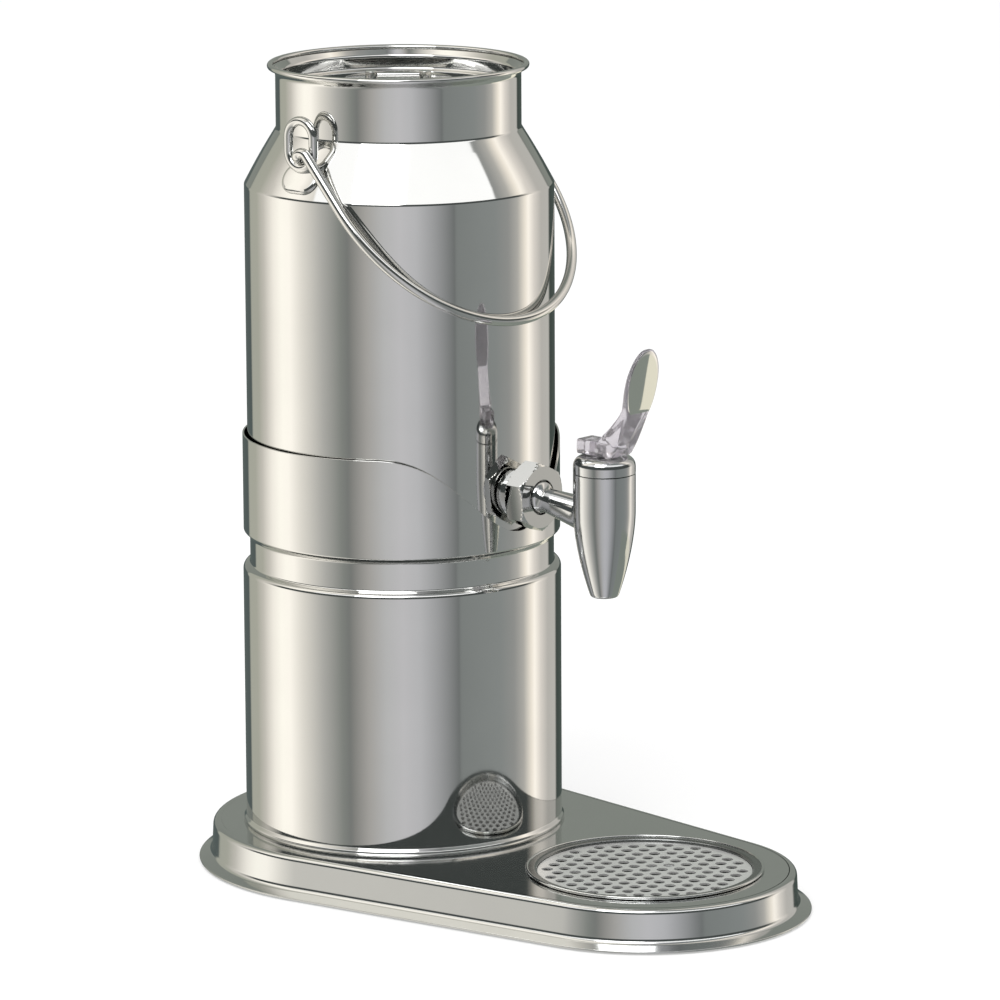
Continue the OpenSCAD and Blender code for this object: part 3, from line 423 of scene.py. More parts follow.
# Ears: bright steel wire bent to a closed loop. Each is welded upright on an oval pad of steel that follows
# the shoulder.
bail_r = 81.5
bail_d = 5.5
pivot_z = shoulder_z + 21.5
ear_wire = 5.0
ear_half_w = 8.8
ear_h = 25.0
ear_x = bail_r - bail_d / 2 - seat_gap - ear_wire / 2
ear_low = pivot_z - bail_d / 2 - seat_gap - ear_wire / 2
# bright-drawn wire mirrors the studio, blurred a little by the marks of the die
bright_wire = stainless("stainless_wire_bright_drawn", "#dcdcda", "#cececc", 0.1, 0.8, 0.1)


def tube(line, radius, sides=28, closed=False, ends=0.0):
    """A round tube along a line of points: a ring of the given radius square to the line at each point, its
    frame carried along without twist. An open tube's ends are closed, and rounded over the given length."""
    line = np.asarray(line, float)
    n = len(line)
    if closed:
        tangent = np.roll(line, -1, 0) - np.roll(line, 1, 0)
    else:
        tangent = np.gradient(line, axis=0)
    tangent /= np.linalg.norm(tangent, axis=1)[:, None]
    up = np.zeros((n, 3))
    seed = np.array([1.0, 0, 0]) if abs(tangent[0, 0]) < 0.8 else np.array([0, 0, 1.0])
    for i in range(n):
        seed = seed - tangent[i] * (seed @ tangent[i])
        seed /= np.linalg.norm(seed)
        up[i] = seed
    side = np.cross(tangent, up)
    a = np.arange(sides) * 2 * math.pi / sides
    r = np.full(n, float(radius))
    if ends:
        q = np.linspace(0, math.pi / 2, 8)[:-1]
        back = ends * (1 - np.cos(q))[:, None]
        line = np.concatenate([line[0] + tangent[0] * back, line[1:-1], line[-1] - tangent[-1] * back[::-1]])
        up, side = (
            np.concatenate([np.repeat(w[:1], 7, 0), w[1:-1], np.repeat(w[-1:], 7, 0)]) for w in (up, side)
        )
        swell = radius * np.sin(q)
        r = np.concatenate([swell, r[1:-1], swell[::-1]])
        r[0] = r[-1] = 0.0
    return line[:, None] + r[:, None, None] * (
        np.cos(a)[None, :, None] * up[:, None] + np.sin(a)[None, :, None] * side[:, None]
    )


low_c = ear_low + ear_half_w
high_c = ear_low + ear_h - ear_half_w
arc = np.linspace(0, math.pi, 41)
top_arc = np.stack([ear_half_w * np.cos(arc), high_c + ear_half_w * np.sin(arc)], 1)
low_arc = np.stack([-ear_half_w * np.cos(arc), low_c - ear_half_w * np.sin(arc)], 1)
loop = np.concatenate([top_arc, low_arc])
lean = math.atan((can_r - neck_r) / (neck_z - shoulder_z))


def weld_pad(sign):
    """Oval pad: rings of a stadium outline, pressed on the shoulder's cone. A ring's height over the cone
    follows a rounded edge, full inside and falling to the cone at its rim."""
    round_r, half_flat, proud = 8.0, 4.0, 2.2
    a = np.arange(96) * 2 * math.pi / 96
    reach = np.array([0.0, 0.4, 0.8, 0.93, 0.98, 1.0, 1.0])
    lift = np.array([2.1, 2.1, 2.1, 2.0, 1.6, 0.9, -0.3])
    ends = half_flat * np.clip(np.sin(a) * 30, -1, 1)
    ring = np.stack([round_r * np.cos(a), round_r * np.sin(a) + ends], 1)
    slope = ring[None, :, 0] * reach[:, None]
    wide = ring[None, :, 1] * reach[:, None]
    pad_z = pivot_z - bail_d / 2 - 0.6 - round_r * math.cos(lean) - proud * math.sin(lean)
    z = pad_z + slope * math.cos(lean)
    base = can_r - (z - shoulder_z) * math.tan(lean)
    r = base + lift[:, None] * math.cos(lean)
    z = z + lift[:, None] * math.sin(lean)
    turn = wide / base
    return np.stack([sign * r * np.cos(turn), r * np.sin(turn), z], 2)


for side, sign in (("left", -1.0), ("right", 1.0)):
    ring = np.column_stack([np.full(len(loop), sign * ear_x), loop])
    ear = skin("ear_%s_loop" % side, tube(ring, ear_wire / 2, closed=True), bright_wire, "can")
    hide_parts("ear_" + side)
    pad = skin("ear_%s_pad" % side, weld_pad(sign), polished_steel, "can", round_u=False)

# Carrying handle: one bright steel rod, bowed to a half circle, cranked at both ends and hooked through the
# ears. It leans on the can's front, free to swing over.
bail_crank = 8.2
bail_arm = 40.0
bail_lean = math.radians(41.2022)
bend = bail_crank / 2
tip_x = ear_x - ear_wire / 2 - 1.2
q = np.linspace(0, math.pi / 2, 17)[1:]
hook = np.concatenate(
    [
        np.stack([np.linspace(tip_x, bail_r - bend, 14), np.zeros(14), np.zeros(14)], 1),
        np.stack([bail_r - bend + bend * np.sin(q), -bend + bend * np.cos(q), 0 * q], 1),
        np.stack([bail_r + 0 * q, -bend - bend * np.sin(q), -bend + bend * np.cos(q)], 1),
        np.stack([np.full(9, bail_r), np.full(9, -bail_crank), np.linspace(-bend, -bail_arm, 10)[1:]], 1),
    ]
)
bow = np.linspace(0, math.pi, 121)[1:-1]
bow = np.stack([bail_r * np.cos(bow), np.full(119, -bail_crank), -bail_arm - bail_r * np.sin(bow)], 1)
rod = np.concatenate([hook, bow, (hook * [-1, 1, 1])[::-1]])
cos_l, sin_l = math.cos(bail_lean), math.sin(bail_lean)
rod = rod @ np.array([[1, 0, 0], [0, cos_l, -sin_l], [0, sin_l, cos_l]]) + [0, 0, pivot_z]
bail = skin("carrying_handle_rod", tube(rod, bail_d / 2, 32, ends=1.6), bright_wire, "bail", round_u=False)
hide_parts("bail_handle")

# Lid: a shallow pan of polished sheet whose flared flange lies in the can's flared mouth, with a round hole
# for the ice tube in its floor.
lid_z = lip_z - 12.9
lid_t = 0.8
pan_r = 63.2
cap_r = 29.8
cap_t = 0.8
ice_r = 25.0
flare_line = neck_r - flare_z - (can_t + seat_gap) * math.sqrt(2)
lid_edge = lip_c - lip_bead - 0.2
lid_face = sheet(
    [
        [ice_r + seat_gap, lid_z - lid_t, 0],
        [pan_r, lid_z - lid_t, 2.4],
        [pan_r, pan_r - flare_line, 1.6],
        [lid_edge, lid_edge - flare_line, 0],
    ],
    lid_t,
    rim=0.2,
)
lid = skin("lid_pan", turned(rounded(lid_face, True, 5.0)), polished_steel, "lid")
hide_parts("lid")

# Ice tube: a closed stainless tube that hangs in the milk from its flange, and its cap, a turned plug with a
# silicone ring and a thin wire handle between two posts.
ice_t = 0.8
cap_z = lid_z + 3.9
ice_l = 205.0
ice_face = sheet(
    [
        [0, lid_z - ice_l, 0],
        [ice_r, lid_z - ice_l, 6],
        [ice_r, lid_z + seat_gap, 0.6],
        [cap_r - 1.4, lid_z + seat_gap, 0],
    ],
    ice_t,
    rim=0.0,
)
ice_grid = turned(rounded(ice_face, False, 8.0), 144)
ice_tube = skin("ice_tube_shell", ice_grid, satin_steel, "ice_tube", round_v=False)
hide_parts("ice_tube")
plug_r = ice_r - ice_t - seat_gap
plug_h = 7.0
plug_t = 2.4
plug_z = cap_z - cap_t - plug_h
seal_z = plug_z + 2.0
seal_h = 3.0
seal_d = 1.2
cap_face = [
    [0, cap_z, 0],
    [cap_r, cap_z, 1.6],
    [cap_r, lid_z + seat_gap, 0.2],
    [cap_r - cap_t, lid_z + seat_gap, 0.2],
    [cap_r - cap_t, cap_z - cap_t, 0.8],
    [plug_r, cap_z - cap_t, 0.2],
    [plug_r, seal_z + seal_h, 0.1],
    [plug_r - seal_d, seal_z + seal_h, 0.1],
    [plug_r - seal_d, seal_z, 0.1],
    [plug_r, seal_z, 0.1],
    [plug_r, plug_z, 0.3],
    [plug_r - plug_t, plug_z, 0.3],
    [plug_r - plug_t, cap_z - cap_t, 0.3],
    [0, cap_z - cap_t, 0],
]
cap_grid = turned(rounded(cap_face, False, 4.0), 192)
ice_cap = skin("ice_cap_turned", cap_grid, polished_steel, "ice_cap", round_v=False)
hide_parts("ice_cap")
# silicone is milky, with a haze of about 3 mm patches, and light goes a little way into it
milky, tree, place = new_look("silicone_translucent_white")
haze = add(tree, "ShaderNodeTexNoise", {"Vector": place, "Scale": 300.0, "Detail": 2.0})
shades = add(tree, "ShaderNodeValToRGB", {"Fac": haze.outputs["Fac"]})
shades.color_ramp.elements[0].color = linear("#d9dad6")
shades.color_ramp.elements[1].color = linear("#ecece8")
cloudy = {"Roughness": 0.45, "Subsurface Weight": 0.3, "Subsurface Scale": 0.002}
silicone = add(tree, "ShaderNodeBsdfPrincipled", {"Base Color": shades.outputs[0]} | cloudy)
add(tree, "ShaderNodeOutputMaterial", {"Surface": silicone.outputs[0]})
finish("ice_cap_seal", milky)
post_r = 3.3
post_h = 4.0
post_x = 14.2
cap_wire_r = 1.3
cap_turn = math.radians(-48.0)
across = np.array([math.cos(cap_turn), math.sin(cap_turn)])
post_top = cap_z + post_h
post_face = rounded([[0, cap_z, 0], [post_r, cap_z, 0], [post_r, post_top, 0.5], [0, post_top, 0]], False)
for name, s in (("cap_handle_post_a", post_x), ("cap_handle_post_b", -post_x)):
    post = skin(name, turned(post_face, 48, tuple(across * s)), polished_steel, "ice_cap", round_v=False)
wire_x = np.linspace(-post_x, post_x, 30)
wire = np.column_stack([wire_x[:, None] * across, np.full(30, post_top - cap_wire_r - 0.9)])
wire_grid = tube(wire, cap_wire_r, 24, ends=0.4)
cap_handle = skin("cap_handle_wire", wire_grid, bright_wire, "ice_cap", round_u=False)
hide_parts("cap_handle")

# Outlet boss: a turned stainless disc with a threaded pipe, its back cut to the can's curve and welded round
# the milk hole. A flat silicone gasket seals the tap's collar against the pipe.
tap_z = 211.7
boss_front = can_r + 3.2
boss_r = 13.0
pipe_r = 10.2
pipe_in_r = 6.5
pipe_end = boss_front + 8.0


def along_pipe(path, steps=144, saddle=False):
    """A path of [radius, distance in front of the can's axis] turned about the pipe's axis, which runs along
    -Y at the tap's height. A saddle moves points behind the can's face on to the cylinder of the can."""
    angle = np.arange(steps) * 2 * math.pi / steps
    x = np.cos(angle)[:, None] * path[None, :, 0]
    z = tap_z + np.sin(angle)[:, None] * path[None, :, 0]
    y = np.broadcast_to(path[None, :, 1], x.shape)
    if saddle:
        y = np.where(y < can_r - 0.5, np.sqrt(np.clip((can_r - 0.3) ** 2 - x**2, 0, None)), y)
    return np.stack([x, -y, z], 2)


boss_face = rounded(
    [
        [pipe_in_r, can_r - 3, 0],
        [boss_r, can_r - 3, 0],
        [boss_r, boss_front, 0.7],
        [pipe_r, boss_front, 0.4],
        [pipe_r, pipe_end, 0.5],
        [pipe_in_r, pipe_end, 0.3],
    ],
    True,
    1.5,
)
boss = skin("outlet_boss_turned", along_pipe(boss_face, saddle=True), satin_steel, "can")
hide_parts("outlet_boss")
finish("tap_gasket", milky)

# Union nut: a polished stainless hexagon nut with turned, chamfered corners. It draws the tap's collar up on
# the pipe.
gasket_t = 1.5
collar_t = 2.0
nut_web = 2.6
nut_front = pipe_end + gasket_t + collar_t + nut_web
nut_t = 12.0
nut_af = 32.4
nut_bore_r = 9.45
nut_wide_r = 10.3
nut_turn = math.radians(25.0)
steps = 360
angle = np.arange(steps) * 2 * math.pi / steps
flat = nut_af / 2 / np.cos((angle + nut_turn) % (math.pi / 3) - math.pi / 6)
nut_back = nut_front - nut_t
# outside radius at steps through the nut: the flats, cut at both ends by the chamfer's cone
nut_y = np.array([0, 0.4, 0.9, 1.5, 2.2, 3.2, 6, 8.8, 9.8, 10.5, 11.1, 11.6, 12.0])
cone = nut_af / 2 + 0.2 + 1.75 * np.minimum(nut_y, nut_t - nut_y)
outer = np.minimum(flat[:, None], cone[None])
# then the bore, back through the web to the wide part that holds the tap's collar
bore = np.array([nut_bore_r, nut_bore_r, nut_wide_r, nut_wide_r])
bore_y = np.array([nut_t, nut_t - nut_web, nut_t - nut_web, 0])
radius = np.concatenate([outer, np.broadcast_to(bore, (steps, 4))], 1)
depth = np.concatenate([nut_y, bore_y])
nut_grid = np.stack(
    [
        np.cos(angle)[:, None] * radius,
        np.broadcast_to(-(nut_back + depth), radius.shape),
        tap_z + np.sin(angle)[:, None] * radius,
    ],
    2,
)
union_nut = skin("union_nut_hexagon", nut_grid, polished_steel, "can", crease=20.0)
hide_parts("union_nut")

# Tap body: a stainless casting, polished all over, with a pointed spout, a sloping conical arm and a turned
# neck inside the nut.
spout_reach = 142.5
spout_r = 16.4
spout_h = 66.2
bonnet_z = tap_z + 18.9
mouth_z = bonnet_z - spout_h
wide_z = mouth_z + 0.7 * spout_h
mouth_r = 7.2
cap_bore_r = 12.3
milk_r = 4.6
tip_h = 2.2
# a polished casting mirrors the studio as the sheet does, with a slightly uneven skin
cast_steel = stainless("stainless_cast_polished", "#d3d4d4", "#c4c5c6", 0.09, 1.2, 0.08)
# the side swells from the tip to the widest place, and then runs straight up
fall = np.linspace(mouth_z + tip_h, wide_z, 34)
swell = mouth_r + (spout_r - mouth_r) * (1 - ((wide_z - fall) / (wide_z - mouth_z)) ** 1.75)
inner = [
    [cap_bore_r, bonnet_z],
    [cap_bore_r, mouth_z + 40],
    [9.4, mouth_z + 23],
    [6.4, mouth_z + 14],
    [milk_r, mouth_z + 11],
    [milk_r, mouth_z + 0.5],
]
tip = [[milk_r + 0.4, mouth_z, 0], [mouth_r - 0.1, mouth_z, 1.9], [swell[0] + 0.02, mouth_z + tip_h, 0]]
tip = rounded(tip, False, 1.0)
wall = np.stack([np.full(6, spout_r), np.linspace(wide_z + 3, bonnet_z - 0.4, 6)], 1)
brim = np.array([[spout_r - 0.05, bonnet_z - 0.15], [spout_r - 0.3, bonnet_z]])
spout_path = np.concatenate([tip[:-1], np.stack([swell, fall], 1), wall, brim, np.array(inner)])
spout = skin("tap_spout_casting", turned(spout_path, 168, (0.0, -spout_reach)), cast_steel, "can")
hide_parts("tap_body")
# the arm is a cone from the neck to the spout: its ring radius grows along it, with a fillet at either end
arm_from = np.array([0.0, -100.0, tap_z - 0.5])
arm_to = np.array([0.0, -132.0, tap_z - 5.5])
share = np.linspace(0, 1.06, 64)
at_spout = np.clip((share - 0.8) / 0.26, 0, 1) ** 2.4
at_neck = np.clip(1 - share / 0.16, 0, 1) ** 2
arm_r = 6.0 + 3.4 * share + 1.9 * at_spout + 2.2 * at_neck
arm_ends = np.concatenate([[0.0], arm_r, [0.0]])
share = np.concatenate([share[:1], share, share[-1:]])
arm_line = arm_from + (arm_to - arm_from) * share[:, None]
ahead = (arm_to - arm_from) / np.linalg.norm(arm_to - arm_from)
over = np.array([0.0, -ahead[2], ahead[1]])
a = np.arange(112) * 2 * math.pi / 112
ring = np.cos(a)[:, None] * np.array([1.0, 0, 0]) + np.sin(a)[:, None] * over
arm_grid = arm_line[:, None] + arm_ends[:, None, None] * ring[None]
arm = skin("tap_arm_casting", arm_grid, cast_steel, "can", round_u=False)
neck_in_r = 4.5
neck_out_r = 9.2
neck_front_r = 8.5
collar_back = pipe_end + gasket_t
neck_face = rounded(
    [
        [neck_in_r, collar_back, 0],
        [pipe_r - 0.1, collar_back, 0.2],
        [pipe_r - 0.1, collar_back + collar_t, 0.2],
        [neck_out_r, collar_back + collar_t, 0.1],
        [neck_out_r, nut_front - 1.6, 0.6],
        [neck_front_r, nut_front - 0.9, 0.5],
        [neck_front_r, nut_front + 1.9, 2.6],
        [neck_in_r, nut_front + 1.9, 0],
    ],
    True,
    1.5,
)
neck = skin("tap_neck_turned", along_pipe(neck_face), cast_steel, "can")

# Screwed cap of the spout: turned stainless with a well-rounded edge and a fine seam where it meets the body.
# The stem seal, plunger, seat cup and closing spring sit inside it and keep the frame's own meshes.
bonnet_top = bonnet_z + 9.2
bonnet_in = bonnet_z - 5.5
rod_r = 2.85
bonnet_face = rounded(
    [
        [rod_r, bonnet_top, 0.2],
        [spout_r, bonnet_top, 5.4],
        [spout_r, bonnet_z + 0.25, 0.25],
        [cap_bore_r - 0.1, bonnet_z + 0.1, 0],
        [cap_bore_r - 0.1, bonnet_in, 0.3],
        [rod_r, bonnet_in, 0],
    ],
    True,
    2.0,
)
bonnet = skin("tap_cap_turned", turned(bonnet_face, 168, (0.0, -spout_reach)), cast_steel, "can")
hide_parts("tap_bonnet")
finish("stem_seal", milky)
finish("seat_cup", milky)
finish("plunger", satin_steel)
finish("lever_pin", satin_steel)
# drawn spring wire is a duller grey
spring_wire = stainless("steel_spring_wire_drawn", "#c4c5c6", "#b2b3b4", 0.2, 0.3, 0.2)
finish("tap_spring", spring_wire)

# Lever: clear moulded acrylic, a slotted foot on the pin and an oval paddle that leans to the front. Its
# edges are moulded round and its inside stays clear.
lever_z = bonnet_top + seat_gap
foot_top = lever_z + 7.4
lever_top = bonnet_top + 59.9
# clear acrylic is faintly tinted where it is thick, and wavy every 11 mm or so where it flowed in the mould
clear_acrylic, tree, place = new_look("acrylic_moulded_clear")
flow = add(tree, "ShaderNodeTexNoise", {"Vector": place, "Scale": 90.0, "Detail": 2.0})
shades = add(tree, "ShaderNodeValToRGB", {"Fac": flow.outputs["Fac"]})
shades.color_ramp.elements[0].color = linear("#cbc6cc")
shades.color_ramp.elements[1].color = linear("#dfdbe0")
ripple = add(tree, "ShaderNodeBump", {"Height": flow.outputs["Fac"], "Strength": 0.3, "Distance": 0.0004})
acrylic = add(
    tree,
    "ShaderNodeBsdfPrincipled",
    {
        "Base Color": shades.outputs[0],
        "Roughness": 0.06,
        "IOR": 1.49,
        "Transmission Weight": 0.85,
        "Normal": ripple.outputs[0],
    },
)
add(tree, "ShaderNodeOutputMaterial", {"Surface": acrylic.outputs[0]})
# stations up the arm and the paddle: the front point and the back point in the side view, as distance in
# front of the pin and height over the lever's foot, and half the width there
knots = np.array(
    [
        [8.4, 0.0, 7.9, 0.1, 8.4],
        [10.4, 0.25, 5.6, 2.5, 8.9],
        [12.6, 1.7, 3.0, 5.6, 9.0],
        [14.8, 5.0, 0.6, 8.6, 9.0],
        [16.6, 8.4, 4.2, 11.6, 9.0],
        [18.4, 12.3, 8.4, 15.3, 9.0],
        [20.4, 17.0, 12.4, 19.4, 9.0],
        [22.3, 21.6, 15.9, 23.3, 9.0],
        [23.9, 26.2, 18.7, 27.4, 9.5],
        [24.85, 31.4, 21.0, 32.2, 11.3],
        [25.85, 37.0, 22.7, 37.4, 12.35],
        [26.85, 42.6, 24.2, 42.8, 12.55],
        [27.8, 48.0, 25.6, 48.1, 11.7],
        [28.7, 53.0, 26.8, 53.0, 9.65],
        [29.3, 56.4, 27.5, 56.4, 7.0],
        [29.65, 58.4, 28.1, 58.4, 4.4],
        [29.5, 59.2, 28.6, 59.2, 2.0],
    ]
)
knots[:, [1, 3]] += lever_z


def flowing(points, n):
    """A smooth curve of n places through points, by Catmull-Rom: each stretch is a cubic whose ends head
    along their neighbours."""
    k = len(points)
    t = np.linspace(0, k - 1, n)
    i = np.clip(t.astype(int), 0, k - 2)
    f = (t - i)[:, None]
    p0, p1, p2, p3 = (points[np.clip(i + o, 0, k - 1)] for o in (-1, 0, 1, 2))
    curve = 2 * p0 - 5 * p1 + 4 * p2 - p3
    twist = 3 * p1 - p0 - 3 * p2 + p3
    return 0.5 * (2 * p1 + (p2 - p0) * f + curve * f**2 + twist * f**3)


def bar(front, back, wide, power, sides=96):
    """Sections of a moulded bar closed at both ends: each front and back point of the side view has between
    them the superellipse |x/w|^p + |y/t|^p = 1, a rectangle with rounded corners where p is large."""
    a = (np.arange(sides) + 0.5) * 2 * math.pi / sides
    power = power[:, None]
    form = (np.abs(np.cos(a)) ** power + np.abs(np.sin(a)) ** power) ** (-1 / power)
    mid = (front + back) / 2
    side = mid[:, None] + (front - back)[:, None] / 2 * (form * np.sin(a))[:, :, None]
    grid = np.stack([wide[:, None] * form * np.cos(a), -spout_reach - side[:, :, 0], side[:, :, 1]], 2)
    ends = grid.mean(1, keepdims=True)
    return np.concatenate([np.repeat(ends[:1], sides, 1), grid, np.repeat(ends[-1:], sides, 1)])


spine = flowing(knots, 190)
roundness = np.interp(spine[:, 3], [lever_z + 22, lever_z + 34, lever_z + 59], [6.0, 4.0, 3.0])
lever_grid = bar(spine[:, :2], spine[:, 2:4], spine[:, 4], roundness)
lever = skin("lever_acrylic", lever_grid, clear_acrylic, "lever", round_u=False, crease=50.0)
# the foot's block and the slot for the plunger's eye: bars along the foot, one joined to the arm and one cut
# out of it. edge is how far the block's rounded end draws in at each station.
run = np.concatenate([[-13.6, -13.5, -13.25, -12.8], np.linspace(-12, 8.6, 16)])
edge = np.array([0.75, 0.3, 0.1, 0.0] + [0.0] * 16)
over = np.column_stack([run, foot_top + 0.6 - edge])
under = np.column_stack([run, lever_z + edge])
block = bar(over, under, 6.6 - edge, np.full(20, 9.0))
block = skin("lever_foot_block", block, clear_acrylic, None, round_u=False)
run = np.array([-6.2, -6.0, 0.0, 6.0, 6.2])
over = np.column_stack([run, np.full(5, lever_z + 6.45)])
under = np.column_stack([run, np.full(5, lever_z - 2)])
slot = bar(over, under, np.full(5, 3.1), np.full(5, 24.0), 48)
slot = skin("lever_slot", slot, clear_acrylic, None, round_u=False)
for tool, action in ((block, "UNION"), (slot, "DIFFERENCE")):
    step = lever.modifiers.new(action.lower(), "BOOLEAN")
    step.operation = action
    step.object = tool
    step.solver = "EXACT"
whole = bpy.data.meshes.new_from_object(lever.evaluated_get(bpy.context.evaluated_depsgraph_get()))
lever.modifiers.clear()
lever.data = whole
whole.shade_smooth()
whole.set_sharp_from_angle(angle=math.radians(40))
for tool in (block, slot):
    bpy.data.objects.remove(tool)
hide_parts("lever")

# Insert: a thin oval of mirror-polished steel, slightly crowned and stuck in a recess of the paddle's face.
# Its polish is the brightest of all.
mirror_steel = stainless("stainless_mirror_insert", "#dddddb", "#d6d6d4", 0.04, 2.0, 0.02)
low_face = np.array([23.9, foot_top + 17.3])
high_face = np.array([30.2, lever_top])
insert_half_w = 11.4
insert_up = 17.2
insert_down = 21.6
insert_arc = 0.45
mid_h = lever_top - 18.4
flat_h = low_face[1] + 0.4
a = np.arange(160) * 2 * math.pi / 160
reach = np.array([0.0, 0.3, 0.6, 0.85, 0.96, 0.99, 1.0, 1.0, 0.96, 0.6, 0.3, 0.0])
crown = np.array([0.12, 0.11, 0.09, 0.05, 0.01, -0.04, -0.12, -0.95, -1.0, -1.0, -1.0, -1.0])
# an oval, longer below its widest place than above it, and cut straight across near its low end: each ray
# from the centre stops at the oval or at the cut
rise = np.where(np.sin(a) > 0, insert_up, insert_down) * np.sin(a)
ray = np.where(rise < flat_h - mid_h, (flat_h - mid_h) / np.minimum(rise, -1.0), 1.0)
half_w = (insert_half_w * np.cos(a) * ray)[None] * reach[:, None]
height = mid_h + (rise * ray)[None] * reach[:, None]
share = (height - low_face[1]) / (high_face[1] - low_face[1])
# it is rolled to a slight arc across its width
arc_across = insert_arc * (1 - (half_w / insert_half_w) ** 2) - 0.15
out = low_face[0] + (high_face[0] - low_face[0]) * share + crown[:, None] + arc_across
insert_grid = np.stack([half_w, -spout_reach - out, height], 2)
insert = skin("lever_insert_oval", insert_grid, mirror_steel, "lever", round_u=False)
# its back, stuck in the recess, is pale grey adhesive film, with cells about 1.4 mm wide in the glue
backing, tree, place = new_look("adhesive_film_grey")
cells = add(tree, "ShaderNodeTexNoise", {"Vector": place, "Scale": 700.0, "Detail": 2.0})
greys = {0: cells.outputs["Fac"], 6: linear("#e2e3e6"), 7: linear("#ecedf0")}
greys = add(tree, "ShaderNodeMix", greys, data_type="RGBA")
film = add(tree, "ShaderNodeBsdfPrincipled", {"Base Color": greys.outputs[2], "Roughness": 0.4})
add(tree, "ShaderNodeOutputMaterial", {"Surface": film.outputs[0]})
insert.data.materials.append(backing)
normals = np.empty(len(insert.data.polygons) * 3)
insert.data.polygons.foreach_get("normal", normals)
insert.data.polygons.foreach_set("material_index", (normals[1::3] > 0.3).astype(np.int32))
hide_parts("lever_insert")

# Studio: a pale floor that keeps the object's soft shadow, white all round to the camera. Polished steel
# sees a studio of soft boxes and grey cards far away instead: bands by compass angle, over and under the
# horizon.
toward_camera = math.radians(-137.8)
# each card's compass angle in degrees from the camera's side, and its tone
cards = [
    (-180, "#505855"),
    (-149, "#4c5453"),
    (-146, "#9e9f94"),
    (-132, "#a3a398"),
    (-121, "#c0bcb4"),
    (-108, "#f0ebe2"),
    (-99, "#fffbf1"),
    (-90, "#fef9f0"),
    (-78, "#dedad2"),
    (-60, "#acaba7"),
    (-45, "#80837f"),
    (-39, "#757775"),
    (-36, "#82827f"),
    (-25, "#a3a19e"),
    (-12, "#b5b5b6"),
    (0, "#bcbbbe"),
    (12, "#b5b5b8"),
    (25, "#9b9c9e"),
    (41, "#6c6f6f"),
    (42.5, "#7a7e7d"),
    (75, "#828685"),
    (88, "#8e8f8d"),
    (98, "#acaaa5"),
    (107, "#ece4d8"),
    (111, "#fdf6ec"),
    (119, "#d7d1ca"),
    (130, "#b2afaa"),
    (145, "#b0aea9"),
    (148.5, "#3c4440"),
    (180, "#464e4b"),
]

floor_mesh = bpy.data.meshes.new("studio_floor")
floor_mesh.from_pydata([(-9, -9, 0), (9, -9, 0), (9, 9, 0), (-9, 9, 0)], [], [(0, 1, 2, 3)])
floor = bpy.data.objects.new("studio_floor", floor_mesh)
bpy.context.scene.collection.objects.link(floor)
white = linear("#ffffff")
# matt paper, with fibres about 1 mm wide
floor_look, tree, place = new_look("studio_floor_paper")
grain = add(tree, "ShaderNodeTexNoise", {"Vector": place, "Scale": 900.0, "Detail": 2.0})
fibre = {0: grain.outputs["Fac"], 6: white, 7: linear("#fdfdfd")}
fibre = add(tree, "ShaderNodeMix", fibre, data_type="RGBA")
paper = add(tree, "ShaderNodeBsdfDiffuse", {"Color": fibre.outputs[2]})
glow = add(tree, "ShaderNodeEmission", {"Color": white, "Strength": 1.0})
lit = add(tree, "ShaderNodeMixShader", {0: 0.35, 1: paper.outputs[0], 2: glow.outputs[0]})
through = add(tree, "ShaderNodeBsdfTransparent")
rays = add(tree, "ShaderNodeLightPath").outputs
# light that has gone through the clear plastic counts as glossy too, and it meets the paper, as the
# camera's does
mirrored = {0: rays["Is Glossy Ray"], 1: rays["Is Transmission Ray"]}
mirrored = add(tree, "ShaderNodeMath", mirrored, operation="SUBTRACT", use_clamp=True)
surface = {0: mirrored.outputs[0], 1: lit.outputs[0], 2: through.outputs[0]}
surface = add(tree, "ShaderNodeMixShader", surface)
add(tree, "ShaderNodeOutputMaterial", {"Surface": surface.outputs[0]})
floor_mesh.materials.append(floor_look)

world = bpy.data.worlds.new("studio")
bpy.context.scene.world = world
world.use_nodes = True
tree = world.node_tree
tree.nodes.clear()
heading = add(tree, "ShaderNodeTexCoord").outputs["Generated"]
# a ray's compass angle about the vertical in radians from the camera's side, and the rise of its direction
heading = {"Vector": heading, "Rotation": (0.0, 0.0, -toward_camera)}
parts = add(tree, "ShaderNodeSeparateXYZ", {0: add(tree, "ShaderNodeMapping", heading).outputs[0]})
rise = parts.outputs[2]
compass = {0: parts.outputs[1], 1: parts.outputs[0]}
compass = add(tree, "ShaderNodeMath", compass, operation="ARCTAN2").outputs[0]
share = {"Value": compass, "From Min": -math.pi, "From Max": math.pi}
share = add(tree, "ShaderNodeMapRange", share)
ramp = add(tree, "ShaderNodeValToRGB", {"Fac": share.outputs[0]})
stops = ramp.color_ramp.elements
while len(stops) > 1:
    stops.remove(stops[-1])
for i, (degrees, code) in enumerate(cards):
    stop = stops[0] if i == 0 else stops.new((degrees + 180) / 360)
    stop.position = (degrees + 180) / 360
    stop.color = linear(code)
# the soft box over the camera: a long panel with rounded corners, 162 degrees wide and bent down towards its
# ends. Its middle line is at the height that the shoulder of the can sees.
box_middle = 0.749
box_sag = -0.075
box_least = 0.2
box_turn = 0.08
box_reach = 1.17
box_end = 0.24
box_half_h = 0.08
box_corner = 0.057
level = compass
for values, operation in (
    ({1: compass}, "MULTIPLY"),
    ({1: box_sag, 2: box_middle}, "MULTIPLY_ADD"),
    ({1: box_least}, "MAXIMUM"),
):
    level = add(tree, "ShaderNodeMath", {0: level} | values, operation=operation).outputs[0]
level = add(tree, "ShaderNodeMath", {0: rise, 1: level}, operation="DIVIDE").outputs[0]
